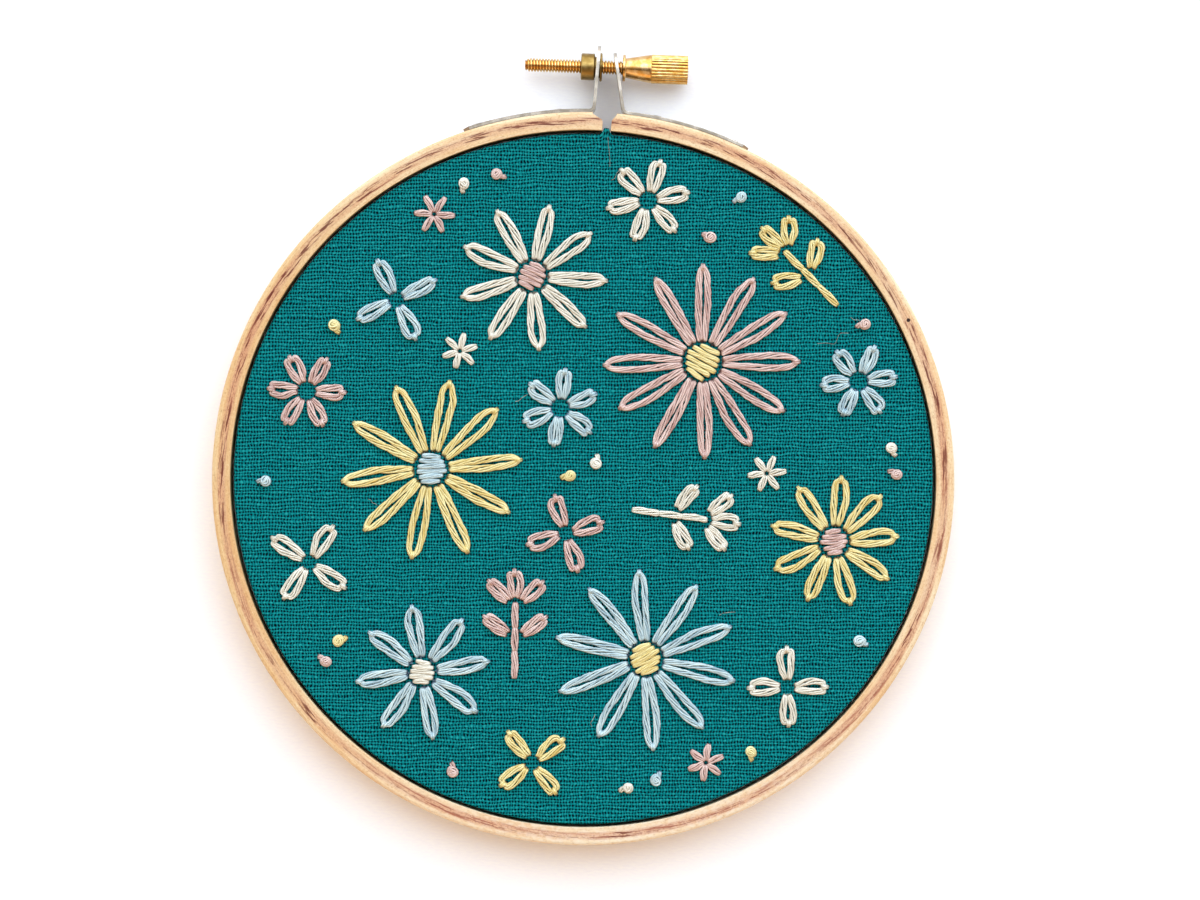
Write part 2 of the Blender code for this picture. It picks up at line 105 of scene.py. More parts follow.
class Value:
    """What comes out of a node. Arithmetic on it adds Math nodes to the same tree."""

    def __init__(self, socket):
        self.socket, self.tree = socket, socket.id_data

    def __add__(self, other):
        return maths("ADD", self, other)

    def __sub__(self, other):
        return maths("SUBTRACT", self, other)

    def __rsub__(self, other):
        return maths("SUBTRACT", other, self)

    def __mul__(self, other):
        return maths("MULTIPLY", self, other)

    def __truediv__(self, other):
        return maths("DIVIDE", self, other)

    def __abs__(self):
        return maths("ABSOLUTE", self)


def add_node(tree, kind, inputs=None, **settings):
    """Adds a node. An input is a Value to link from, or a constant."""
    made = tree.nodes.new(kind)
    for key, value in settings.items():
        setattr(made, key, value)
    for key, value in (inputs or {}).items():
        if isinstance(value, Value):
            tree.links.new(value.socket, made.inputs[key])
        else:
            made.inputs[key].default_value = value
    return made


def node(tree, kind, inputs=None, output=0, **settings):
    """Adds a node and gives one of its outputs."""
    return Value(add_node(tree, kind, inputs, **settings).outputs[output])


def maths(operation, *values):
    """A Math node over values and numbers, of which at least one is a Value."""
    tree = next(v.tree for v in values if isinstance(v, Value))
    return node(tree, "ShaderNodeMath", dict(enumerate(values)), operation=operation)


def vector_maths(operation, *vectors, output=0):
    return node(vectors[0].tree, "ShaderNodeVectorMath", dict(enumerate(vectors)), output, operation=operation)


def scaled(vector, scale):
    """A vector times one value."""
    return node(vector.tree, "ShaderNodeVectorMath", {0: vector, "Scale": scale}, operation="SCALE")


def split(vector):
    """The x, y and z of a vector."""
    return [Value(part) for part in add_node(vector.tree, "ShaderNodeSeparateXYZ", {0: vector}).outputs]


def join(**parts):
    """A vector from values named X, Y and Z."""
    tree = next(v.tree for v in parts.values() if isinstance(v, Value))
    return node(tree, "ShaderNodeCombineXYZ", parts)


def noise(vector, scale=(1.0, 1.0, 1.0), detail=2.0, roughness=0.5):
    """Noise over a vector that is first multiplied by (x, y, z)."""
    return node(vector.tree, "ShaderNodeTexNoise", {"Vector": vector_maths("MULTIPLY", vector, scale), "Scale": 1.0,
                                                    "Detail": detail, "Roughness": roughness}, "Fac")


def smooth_step(value, low, high):
    """Nought below low, one above high, with a soft slope between; low may be the larger."""
    return node(value.tree, "ShaderNodeMapRange", {"Value": value, "From Min": low, "From Max": high}, "Result",
                interpolation_type="SMOOTHSTEP")


def mix(factor, first, second, blend="MIX"):
    """The first colour, turned into the second by the factor. A colour is a Value or a hex code."""
    first, second = (colour(c) if isinstance(c, str) else c for c in (first, second))
    return node(factor.tree, "ShaderNodeMix", {0: factor, 6: first, 7: second}, 2, data_type="RGBA", blend_type=blend)


def ramp(factor, stops):
    """A colour ramp over a factor, from (place, hex) stops."""
    made = add_node(factor.tree, "ShaderNodeValToRGB", {"Fac": factor})
    elements = made.color_ramp.elements
    while len(elements) < len(stops):
        elements.new(0.5)
    for element, (place, code) in zip(elements, stops):
        element.position = place
        element.color = colour(code)
    return Value(made.outputs["Color"])


def attribute(tree, name, output="Vector"):
    """A value that the mesh's points carry under a name."""
    return node(tree, "ShaderNodeAttribute", output=output, attribute_name=name)


def object_place(tree):
    return node(tree, "ShaderNodeTexCoord", output="Object")


def new_material(name, **constants):
    """A material with an empty Principled shader. Its constant sockets are set by name."""
    mat = bpy.data.materials.new(name)
    mat.use_nodes = True
    shader = mat.node_tree.nodes["Principled BSDF"]
    for key, value in constants.items():
        shader.inputs[key.replace("_", " ")].default_value = value
    return mat, mat.node_tree, shader


def link(value, target):
    value.tree.links.new(value.socket, target)


def surface(shader, base, relief, depth):
    """Gives a shader its colour, and a relief whose unit is so many metres deep."""
    link(base, shader.inputs["Base Color"])
    bump = node(base.tree, "ShaderNodeBump", {"Height": relief, "Distance": depth, "Strength": 1.0}, "Normal")
    link(bump, shader.inputs["Normal"])


print("node helpers ready")

# %% [markdown]
# ## Meshes and pieces
#
# Every mesh here is rows of points: round a ring, round the cloth or round the screw. One function
# gives the faces between such rows. A finished piece rides on one of the model's two bodies and
# stands for the nodes that it replaces.

# %% Mesh helpers
def placed(name, data):
    """A new object in the scene."""
    obj = bpy.data.objects.new(name, data)
    bpy.context.scene.collection.objects.link(obj)
    return obj


def piece(name, mesh, mat, body=HOOP, slot=None, replaces=()):
    """A finished piece: it rides on its body, and stands for the model's nodes that it replaces."""
    obj = placed(name, mesh)
    mesh.materials.clear()
    mesh.materials.append(mat)
    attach(obj, body)
    if replaces:
        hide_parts(*replaces)
    return obj


def band_faces(rows, count, first=0, closed=False):
    """Quads between rows of count points. Each row is a loop; closed joins the last row to the first."""
    faces = []
    for row in range(rows if closed else rows - 1):
        near, far = first + row * count, first + (row + 1) % rows * count
        for k in range(count):
            after = (k + 1) % count
            faces.append((near + k, far + k, far + after, near + after))
    return faces


def mesh_from(name, points, faces, sharp=None, **attributes):
    """A smooth mesh with one 3D value a point for each named attribute. Edges over sharp degrees stay."""
    mesh = bpy.data.meshes.new(name)
    mesh.from_pydata([tuple(p) for p in points], [], faces)
    for key, values in attributes.items():
        layer = mesh.attributes.new(key, "FLOAT_VECTOR", "POINT")
        layer.data.foreach_set("vector", np.asarray(values, dtype=np.float32).ravel())
    mesh.shade_smooth()
    if sharp:
        mesh.set_sharp_from_angle(angle=math.radians(sharp))
    return mesh


def applied(obj):
    """The evaluated mesh of an object, which is then removed."""
    bpy.context.view_layer.update()
    graph = bpy.context.evaluated_depsgraph_get()
    mesh = bpy.data.meshes.new_from_object(obj.evaluated_get(graph))
    mesh.transform(obj.matrix_world)
    bpy.data.objects.remove(obj, do_unlink=True)
    return mesh


print("mesh helpers ready")

# %% [markdown]
# ## Camera
#
# The hoop lies flat and is seen from straight above, from a little under a metre. It is turned by a
# few degrees in the picture, so the camera is rolled instead and the hoop's gap stays on +Y. The rim
# fills 743 of the picture's 1200 columns, and that sets the distance for this lens.

# %% Camera straight above the hoop
PICTURE_WIDTH = 1200
RIM_PIXELS = 743
LENS, SENSOR = 135.0, 36.0
AIM_RIGHT, AIM_UP = 3.6 * MM, 6.25 * MM

view_width = 2 * RIM_OUTER * PICTURE_WIDTH / RIM_PIXELS
camera_data = bpy.data.cameras.new("camera")
camera_data.lens = LENS
camera_data.sensor_width = SENSOR
camera = placed("camera", camera_data)
aim = Matrix.Rotation(CAMERA_ROLL, 3, "Z") @ Vector((AIM_RIGHT, AIM_UP, 0.0))
camera.location = from_centre(aim.x, aim.y, RIM_DEPTH + view_width * LENS / SENSOR)
camera.rotation_euler = (0.0, 0.0, CAMERA_ROLL)
bpy.context.scene.camera = camera
print("camera height in mm:", round(camera.location.z / MM))

# %% [markdown]
# ## Bent wood
#
# Each ring is a strip of pale beech, steamed, bent and glued in two layers, then sanded. Its top edge
# shows the layers side by side: a slightly darker inner one, a paler outer one, and between them
# broken reddish-brown streaks where the glue line and the end of the grain show. The fibres run along
# the bend, so the pattern can't use plain x and y. Every point of a ring carries its own "grain"
# place instead: how far along the bend, how far from the inner wall, how deep.

# %% Wood material
PALER_ALONG, YELLOWER_ALONG = 235.0 * MM, 385.0 * MM
WORM_HOLE = (83.9 * MM, 2.1 * MM, RIM_DEPTH)


def wood_material(name, seam):
    """Sanded pale beech. The seam is how far the glue line lies from the inner wall."""
    mat, tree, shader = new_material(name, Roughness=0.5, Specular_IOR_Level=0.3)
    grain = attribute(tree, "grain")
    along, across, _ = split(grain)

    # Slow change of tone along the strip, fibres 0.25 mm wide and 6 mm long, and specks of 0.4 mm
    slow = noise(grain, (45.0, 500.0, 260.0))
    fibres = noise(grain, (160.0, 4000.0, 4000.0), 3.0, 0.6)
    specks = noise(grain, (1900.0, 2800.0, 2800.0), 2.0, 0.7)
    pale = ramp(slow, [(0.3, "#D9B78A"), (0.5, "#E0C9A3"), (0.72, "#E4D7B8")])
    pale = mix(smooth_step(fibres, 0.45, 0.75) * 0.55, pale, "#C29263")
    pale = mix(smooth_step(specks, 0.52, 0.72) * 0.55, pale, "#AE7D56")
    pale = mix(smooth_step(specks, 0.42, 0.26) * 0.7, pale, "#E4DCC1")

    # Nearly opposite the gap one stretch is painted paler, for the brighter light on that side, with torn white
    # fibres over it
    paler = smooth_step(abs(along - PALER_ALONG), 70.0 * MM, 20.0 * MM)
    white = smooth_step(noise(grain, (800.0, 1500.0, 1500.0)), 0.42, 0.6)
    pale = mix((white * 0.4 + 0.25) * paler, pale, "#E4DCCD")

    # The inner layer is a touch darker than the outer one
    pale = mix(smooth_step(across, seam + 0.1 * MM, seam - 0.1 * MM), pale, "#FBF8F5", "MULTIPLY")

    # Round the left side it is yellower and a little darker
    pale = mix(smooth_step(abs(along - YELLOWER_ALONG), 95.0 * MM, 30.0 * MM), pale, "#F6EDDC", "MULTIPLY")

    # Beside the glue line the wood is pink and finely speckled, more in some places than in others
    wander = (noise(grain, (55.0, 0.0, 0.0)) - 0.5) * (0.9 * MM)
    from_seam = across - seam - wander
    off_seam = abs(from_seam + 0.25 * MM)
    patchy = smooth_step(noise(grain, (30.0, 300.0, 0.0)), 0.3, 0.6)
    band = smooth_step(off_seam, 1.15 * MM, 0.45 * MM) * (patchy * 0.6 + 0.4)
    toned = mix(band * 0.6, pale, "#C69176")
    dust = smooth_step(noise(grain, (2600.0, 4200.0, 3000.0), 2.0, 0.7), 0.48, 0.66)
    toned = mix(dust * band * 0.6, toned, "#8D513B")

    # Slanting strokes where the end of the grain shows: many thin red ones, and a few that are dark
    strokes = noise(join(X=along, Y=from_seam + along * 0.05), (150.0, 2100.0, 0.0), 2.0, 0.6)
    red = smooth_step(strokes, 0.5, 0.6) * smooth_step(off_seam, 1.0 * MM, 0.5 * MM)
    toned = mix(red * patchy * 0.75, toned, "#8F4A34")
    near_gap = maths("COSINE", along / RIM_OUTER) * 0.13
    strong = smooth_step(noise(grain, (36.0, 0.0, 0.0), 2.0, 0.6) + near_gap, 0.44, 0.54)
    dash = smooth_step(strokes, 0.54, 0.59) * smooth_step(off_seam, 0.8 * MM, 0.5 * MM) * strong
    rough_line = smooth_step(noise(grain, (900.0, 2600.0, 300.0), 2.0, 0.7), 0.36, 0.6)
    line = rough_line * smooth_step(abs(from_seam), 0.16 * MM, 0.03 * MM)
    toned = mix(line * 0.65, toned, "#713324")
    toned = mix(dash * 0.85, toned, "#5D1F13")

    # One tiny worm hole, a third of the way down the right side, painted as a near-black spot for the shade inside it
    away = vector_maths("DISTANCE", grain, WORM_HOLE, output="Value")
    toned = mix(smooth_step(away, 0.5 * MM, 0.34 * MM), toned, "#250C08")

    # Pores: dark flecks 1.5 mm long
    pores = smooth_step(noise(grain, (650.0, 6000.0, 5000.0), 1.0), 0.66, 0.76)
    toned = mix(pores * 0.35, toned, "#8B5D3F")
    surface(shader, toned, fibres * 0.6 + specks * 0.5 - dash * 0.8, 0.06 * MM)
    return mat


rim_wood = wood_material("beech_steam_bent_sanded", 2.12 * MM)
inner_wood = wood_material("beech_inner_ring_sanded", 1.9 * MM)
print("wood:", rim_wood.name, inner_wood.name)

# %% [markdown]
# ## The two rings
#
# A ring could be a torus or a bevelled curve, but the outer one is split: its ends are sawn straight
# near the inner wall and bevelled further out, more on one side than on the other. So the section, a
# rectangle with rounded corners, is swept round the hoop, and each of its points starts and stops at
# the angle that its own distance from the centre asks for. The wall wavers by less than a tenth of a
# millimetre, as bent wood does.

# %% Sweep a rounded section round the hoop
Ring = namedtuple("Ring", "inner outer low high outer_corner inner_corner steps")


def half_section(ring, arc_steps=6, flat_steps=7):
    """The upper half of a ring's section as (radius, height), from the outer wall to the inner."""
    points = []

    def arc(corner, centre_radius, first):
        for step in range(arc_steps + 1):
            turn = math.radians(first + 90.0 * step / arc_steps)
            points.append((centre_radius + corner * math.cos(turn),
                           ring.high - corner + corner * math.sin(turn)))

    start, end = ring.outer - ring.outer_corner, ring.inner + ring.inner_corner
    arc(ring.outer_corner, start, 0.0)
    points += [(start + (end - start) * step / flat_steps, ring.high) for step in range(1, flat_steps)]
    arc(ring.inner_corner, end, 90.0)
    return points


def swept_ring(name, ring, gap=None, waver=0.0):
    """A ring as a mesh. gap(radius) gives the first and last angle, clockwise from the gap."""
    upper = half_section(ring)
    section = upper + [(radius, ring.low + ring.high - height) for radius, height in reversed(upper)]
    count = len(section)
    columns = ring.steps + (1 if gap else 0)
    points, grain = [], []
    for step in range(columns):
        for radius, height in section:
            first, last = gap(radius) if gap else (0.0, math.tau)
            angle = first + (last - first) * step / ring.steps
            wide = radius + waver * (math.sin(3 * angle + 1.0) + 0.6 * math.sin(7 * angle + 2.0))
            points.append(from_centre(wide * math.sin(angle), wide * HOOP_OVAL * math.cos(angle), height))
            grain.append((ring.outer * angle, radius - ring.inner, height))
    faces = band_faces(columns, count, closed=not gap)
    if gap:
        last = ring.steps * count
        for k in range(count // 2 - 1):
            mirror = count - 1 - k
            faces.append((k, k + 1, mirror - 1, mirror))
            faces.append((last + k + 1, last + k, last + mirror, last + mirror - 1))
    return mesh_from(name, points, faces, sharp=50, grain=grain)


# The ends of the split ring: half-widths of the gap at the inner wall and at the outer wall
GAP_HALF = 0.95 * MM
BEVEL_START, BEVEL_END = 78.6 * MM, 79.9 * MM
BEVEL_RIGHT, BEVEL_LEFT = 2.0 * MM, 3.2 * MM


def rim_gap(radius):
    """The angles where the rim starts and stops at a distance from the centre."""
    share = min(1.0, max(0.0, (radius - BEVEL_START) / (BEVEL_END - BEVEL_START)))
    right = GAP_HALF + (BEVEL_RIGHT - GAP_HALF) * share
    left = GAP_HALF + (BEVEL_LEFT - GAP_HALF) * share
    return math.asin(right / radius), math.tau - math.asin(left / radius)


outer_ring = Ring(RIM_INNER, RIM_OUTER, 0.0, RIM_DEPTH, 0.7 * MM, 0.1 * MM, 420)
rim = piece("rim_split_ring", swept_ring("rim_split_ring", outer_ring, rim_gap, 0.05 * MM), rim_wood,
            slot="hoop_wood", replaces=["outer_ring"])

inner_low, inner_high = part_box("inner_ring")
INNER_OUTER = (inner_high[0] - inner_low[0]) / 2
INNER_WALL = 4.0 * MM
inner_ring = Ring(INNER_OUTER - INNER_WALL, INNER_OUTER, 0.0, inner_high[2], 0.5 * MM, 0.7 * MM, 360)
core = piece("inner_hoop_ring", swept_ring("inner_hoop_ring", inner_ring), inner_wood,
             slot="hoop_wood", replaces=["inner_ring"])
print("ring faces:", len(rim.data.polygons), len(core.data.polygons))

# %% [markdown]
# ## Where the motifs are
#
# The embroidery is a scatter of ordinary flowers: daisies with a worked centre, small blossoms,
# sprigs with a bud and two leaves, stars of straight stitches and single knots. The tables give each
# motif's place in millimetres from the hoop's centre, as in the fixed model, and its thread.

# %% Tables of motifs
Flower = namedtuple("Flower", "name x y petals reach hub turn floss centre")
DAISIES = [
    Flower("daisy_rose", 24.0, 27.0, 12, 21.5, 4.4, 4.0, "rose", "lemon"),
    Flower("daisy_lemon_left", -33.0, 0.0, 10, 20.0, 3.9, 10.0, "lemon", "sky"),
    Flower("daisy_sky_low", 16.0, -38.0, 10, 20.0, 3.9, 25.0, "sky", "lemon"),
    Flower("daisy_ecru", -14.0, 43.0, 9, 16.5, 3.6, 0.0, "ecru", "rose"),
    Flower("daisy_sky_left", -32.0, -44.0, 8, 15.0, 3.3, 12.0, "sky", "ecru"),
    Flower("daisy_lemon_right", 55.0, -10.0, 9, 14.5, 3.5, 8.0, "lemon", "rose"),
]
BLOSSOMS = [
    Flower("blossom_ecru_top", 10.0, 61.0, 6, 9.5, 2.0, 15.0, "ecru", None),
    Flower("blossom_sky_left", -43.0, 36.0, 4, 10.0, 1.6, 30.0, "sky", None),
    Flower("blossom_rose_left", -61.0, 15.0, 6, 8.8, 2.0, 0.0, "rose", None),
    Flower("blossom_ecru_left", -58.0, -22.0, 4, 10.0, 1.6, 60.0, "ecru", None),
    Flower("blossom_rose_middle", -3.0, -12.0, 4, 9.0, 1.6, 20.0, "rose", None),
    Flower("blossom_sky_middle", -6.0, 15.0, 6, 8.8, 2.0, 25.0, "sky", None),
    Flower("blossom_sky_right", 58.0, 25.0, 6, 8.6, 2.0, 10.0, "sky", None),
    Flower("blossom_ecru_right", 47.0, -42.0, 4, 9.0, 1.6, 5.0, "ecru", None),
    Flower("blossom_lemon_low", -7.0, -62.0, 4, 9.0, 1.6, 40.0, "lemon", None),
]
Sprig = namedtuple("Sprig", "name x y heading floss")
SPRIGS = [
    Sprig("sprig_lemon", 46.0, 46.8, 138.0, "lemon"),
    Sprig("sprig_ecru", 19.5, -6.5, -4.0, "ecru"),
    Sprig("sprig_rose", -12.5, -35.5, 93.0, "rose"),
]
Star = namedtuple("Star", "name x y arms reach turn floss")
STARS = [
    Star("star_ecru_right", 39.5, 3.8, 6, 4.2, 10.0, "ecru"),
    Star("star_rose_low", 30.5, -59.5, 6, 4.2, 25.0, "rose"),
    Star("star_rose_top", -36.0, 55.0, 6, 4.5, 0.0, "rose"),
    Star("star_ecru_left", -28.5, 25.8, 6, 4.0, 20.0, "ecru"),
]
Knot = namedtuple("Knot", "x y floss")
KNOTS = [
    Knot(-30.0, 62.0, "ecru"), Knot(-23.0, 64.5, "rose"), Knot(30.0, 63.0, "sky"),
    Knot(24.0, 54.0, "rose"), Knot(58.5, 37.5, "rose"), Knot(66.0, 11.0, "ecru"),
    Knot(67.5, 5.5, "rose"), Knot(62.0, -31.0, "sky"), Knot(40.0, -56.5, "lemon"),
    Knot(14.0, -66.0, "ecru"), Knot(20.0, -64.0, "sky"), Knot(-24.0, -65.0, "rose"),
    Knot(-53.0, -43.0, "rose"), Knot(-50.5, -38.5, "lemon"), Knot(-68.5, -5.0, "sky"),
    Knot(-56.0, 29.5, "lemon"), Knot(-3.0, 0.5, "lemon"), Knot(2.5, 3.5, "ecru"),
]
print("motifs:", len(DAISIES) + len(BLOSSOMS) + len(SPRIGS) + len(STARS), "and knots:", len(KNOTS))

# %% [markdown]
# ## The thread's way through the cloth
#
# A lazy-daisy petal is one loop of thread: it comes up at the flower's hub, runs out, turns at the
# tip, and goes down beside the place where it came up. A short stitch over the tip ties the loop
# down. The loops could be drawn as flat shapes, but thread has a height, dips at each end into the
# cloth and is never quite even. So every stitch is a run of points in space, and the thread itself
# is laid along the runs afterwards. Each hole in the cloth is noted, to dent the cloth there.

# %% Runs of thread for each kind of stitch
hand = random.Random(11)
LAY = 0.5 * MM          # how high a stitch lies over the cloth
UNDER = -0.4 * MM       # how deep its ends go
holes = []
Run = namedtuple("Run", "points wide high")
FULL = (0.56 * MM, 0.20 * MM)
SATIN = (0.4 * MM, 0.2 * MM)
TIE = (0.26 * MM, 0.14 * MM)
WOUND = (0.32 * MM, 0.24 * MM)
SATIN_PITCH = 1.15 * MM


def smooth_line(points, per_span=5):
    """A smooth line through points, with a few steps in each span (Catmull-Rom)."""
    padded = [points[0]] + list(points) + [points[-1]]
    line = []
    for before, start, end, after in zip(padded, padded[1:], padded[2:], padded[3:]):
        for step in range(per_span):
            t = step / per_span
            line.append(0.5 * (2 * start + (end - before) * t
                               + (2 * before - 5 * start + 4 * end - after) * t ** 2
                               + (3 * start - before - 3 * end + after) * t ** 3))
    line.append(points[-1])
    return line


def turned_by(degrees):
    return Matrix.Rotation(math.radians(degrees), 4, "Z")


def stitch_frame(x, y, degrees):
    """Turns a stitch drawn along +X to its heading, and puts it on the cloth at (x, y) millimetres."""
    return Matrix.Translation(from_centre(x * MM, y * MM, CLOTH_TOP)) @ turned_by(degrees)


def laid(place, points, size, per_span=5):
    """One run of thread through (x, y, z, spread) points. A spread below one draws the strands in."""
    moved = []
    for x, y, z, *spread in points:
        moved.append(Vector((*(place @ Vector((x, y, z))), *(spread or (1.0,)))))
    holes.extend([moved[0].xy, moved[-1].xy])
    return Run(smooth_line(moved, per_span), *size)


def straight_run(place, start, end, size=FULL, rise=LAY):
    """A straight stitch along +X from start to end."""
    dip = 0.5 * MM
    bow = hand.uniform(-0.15, 0.15) * MM
    return laid(place, [(start, 0.0, UNDER, 0.5), (start + 0.3 * dip, 0.0, 0.6 * rise, 0.65),
                        (start + 1.8 * dip, 0.0, rise, 0.9), ((start + end) / 2, bow, rise * 1.08, 1.0),
                        (end - 1.8 * dip, 0.0, rise, 0.9), (end - 0.3 * dip, 0.0, 0.6 * rise, 0.65),
                        (end, 0.0, UNDER, 0.5)], size, 3)


def loop_runs(place, hub, reach, half):
    """A lazy-daisy loop, at most half wide to each side, and the short stitch that ties its tip down."""
    length = reach - hub
    wide = min(half - 0.75 * MM, 1.4 * MM) * hand.uniform(0.62, 1.0)
    lean = hand.uniform(-0.022, 0.022) * length
    even = hand.uniform(0.75, 1.25)
    belly = hand.uniform(0.5, 0.68)
    tip = reach - 0.75 * MM
    foot = 0.5 * MM

    def leg(side, fuller):
        return [(hub + 0.1 * MM, side * 0.8 * foot, UNDER, 0.5), (hub + 0.3 * MM, side * foot, 0.5 * LAY, 0.6),
                (hub + 0.95 * MM, side * (foot + 0.1 * wide), LAY, 0.82),
                (hub + 0.3 * length, side * (0.35 * MM + 0.5 * wide * fuller) + 0.4 * lean, LAY * 1.15, 1.0),
                (hub + belly * length, side * (0.12 * MM + 0.92 * wide * fuller) + 0.8 * lean, LAY * 1.1, 1.0),
                (hub + 0.82 * length, side * (0.1 * MM + 0.76 * wide) + lean, LAY, 0.86),
                (tip - 0.55 * MM, side * (0.38 * wide + 0.1 * MM) + lean, 0.95 * LAY, 0.62)]

    points = leg(1, even) + [(tip, lean, 0.85 * LAY, 0.42)] + list(reversed(leg(-1, 2.0 - even)))
    loop = laid(place, points, FULL, 5)
    tie = laid(place, [(tip - 0.95 * MM, lean, UNDER, 0.6), (tip - 0.72 * MM, lean, 0.8 * LAY),
                       (tip - 0.1 * MM, lean, 2.1 * LAY), (tip + 0.45 * MM, lean, 0.9 * LAY),
                       (tip + 0.72 * MM, lean, UNDER, 0.6)], TIE, 4)
    return [loop, tie]


def petal_half(hub, reach):
    return min(2.3 * MM, 0.3 * (reach - hub))


def flower_runs(flower):
    hub, reach = flower.hub * MM, flower.reach * MM
    runs = []
    for index in range(flower.petals):
        degrees = flower.turn + 360.0 * index / flower.petals + hand.uniform(-1.2, 1.2)
        own_reach = reach * hand.uniform(0.965, 1.0)
        runs += loop_runs(stitch_frame(flower.x, flower.y, degrees), hub, own_reach, petal_half(hub, reach))
    return runs


def satin_runs(flower):
    """A worked centre: straight stitches side by side over a small disc."""
    radius = (flower.hub - 0.7) * MM
    rows = max(3, round(2 * radius / SATIN_PITCH))
    degrees = hand.uniform(-30.0, 30.0)
    runs = []
    for row in range(rows):
        side = (row - (rows - 1) / 2) * 2 * radius / rows
        chord = math.sqrt(max(radius ** 2 - side ** 2, (0.6 * radius) ** 2))
        slant = degrees + hand.uniform(-7.0, 7.0)
        place = stitch_frame(flower.x, flower.y, degrees) @ Matrix.Translation((0.0, side, 0.0))
        runs.append(straight_run(place @ turned_by(slant - degrees), -chord * hand.uniform(0.88, 1.08),
                                 chord * hand.uniform(0.88, 1.08), SATIN, hand.uniform(1.3, 1.9) * LAY))
    return runs


def sprig_runs(sprig):
    """A stem of three stitches, two leaves at its hub and a bud of three loops on its end."""
    hub, loop, rise, bud_hub = 1.9 * MM, 8.6 * MM, 6.2 * MM, 2.2 * MM
    place = stitch_frame(sprig.x, sprig.y, sprig.heading)
    runs = [straight_run(place, -8.5 * MM, -2.6 * MM), straight_run(place, -2.7 * MM, 2.4 * MM),
            straight_run(place, 2.3 * MM, rise + 1.6 * MM)]
    for lean in (-55.0, 55.0):
        runs += loop_runs(place @ turned_by(lean), hub, loop, petal_half(hub, loop))
    crown = place @ Matrix.Translation((rise + 0.4 * MM, 0.0, 0.0))
    for lean in (-44.0, 0.0, 44.0):
        petal = crown @ turned_by(lean + hand.uniform(-2.0, 2.0))
        runs += loop_runs(petal, bud_hub, loop, petal_half(bud_hub, loop))
    return runs


def star_runs(star):
    runs = []
    for index in range(star.arms):
        place = stitch_frame(star.x, star.y, star.turn + 360.0 * index / star.arms)
        runs.append(straight_run(place, 0.55 * MM, star.reach * MM * hand.uniform(0.92, 1.0)))
    return runs


def knot_runs(knot):
    """A knot: the thread winds twice round itself, and both its ends go down close by."""
    place = stitch_frame(knot.x, knot.y, hand.uniform(0.0, 360.0))
    wide = hand.uniform(0.72, 0.86) * MM
    stretch = hand.uniform(0.95, 1.25)
    turns, steps = 1.8, 20
    points = [(1.9 * MM, -0.5 * MM, UNDER, 0.7), (1.6 * MM, -0.55 * MM, 0.7 * LAY)]
    for step in range(steps + 1):
        share = step / steps
        angle = -0.9 + share * turns * math.tau
        radius = wide * (1.0 - 0.35 * share)
        points.append((radius * stretch * math.cos(angle), radius * math.sin(angle), (0.8 + 1.4 * share) * LAY))
    points += [(0.5 * MM, 0.3 * MM, 2.1 * LAY), (0.05 * MM, 0.1 * MM, 1.4 * LAY, 0.7), (0.0, 0.0, UNDER, 0.7)]
    return [laid(place, points, WOUND, 2)]


Motif = namedtuple("Motif", "node tone runs")
motifs = [Motif(f.name, f.floss, flower_runs(f)) for f in DAISIES + BLOSSOMS]
motifs += [Motif(f.name + "_centre", f.centre, satin_runs(f)) for f in DAISIES]
motifs += [Motif(s.name, s.floss, sprig_runs(s)) for s in SPRIGS]
motifs += [Motif(s.name, s.floss, star_runs(s)) for s in STARS]
motifs += [Motif(f"knot_{i + 1:02d}", k.floss, knot_runs(k)) for i, k in enumerate(KNOTS)]
print("runs of thread:", sum(len(m.runs) for m in motifs), " holes in the cloth:", len(holes))

# %% [markdown]
# ## Stranded cotton
#
# Embroidery floss is six fine strands, each of them spun, that lie together with a slow twist. From
# a step away a stitch shows two or three strands side by side, and the strands catch the light along
# their length, because the cotton is mercerised. The colour is nearly even; the strands differ by a
# touch, and the spinning shows as fine fibres that slant across each strand. Those are a noise drawn
# out along the strand and wound round it. It needs to know how far along the strand a point is and
# on which side, so the geometry tree stores both.

# %% Floss materials
# Each thread: a colour for painted shade, then a duller and a lighter shade that its tone varies between
FLOSS_HEX = {"rose": ("#5F3332", "#A67B74", "#E5D1CC"), "lemon": ("#785712", "#CBB052", "#ECE9B2"),
             "sky": ("#355275", "#7FA3B5", "#CFE6EA"), "ecru": ("#615A4B", "#C2BEAB", "#EEF0E8")}
SPIN_PITCH = 3.0 * MM


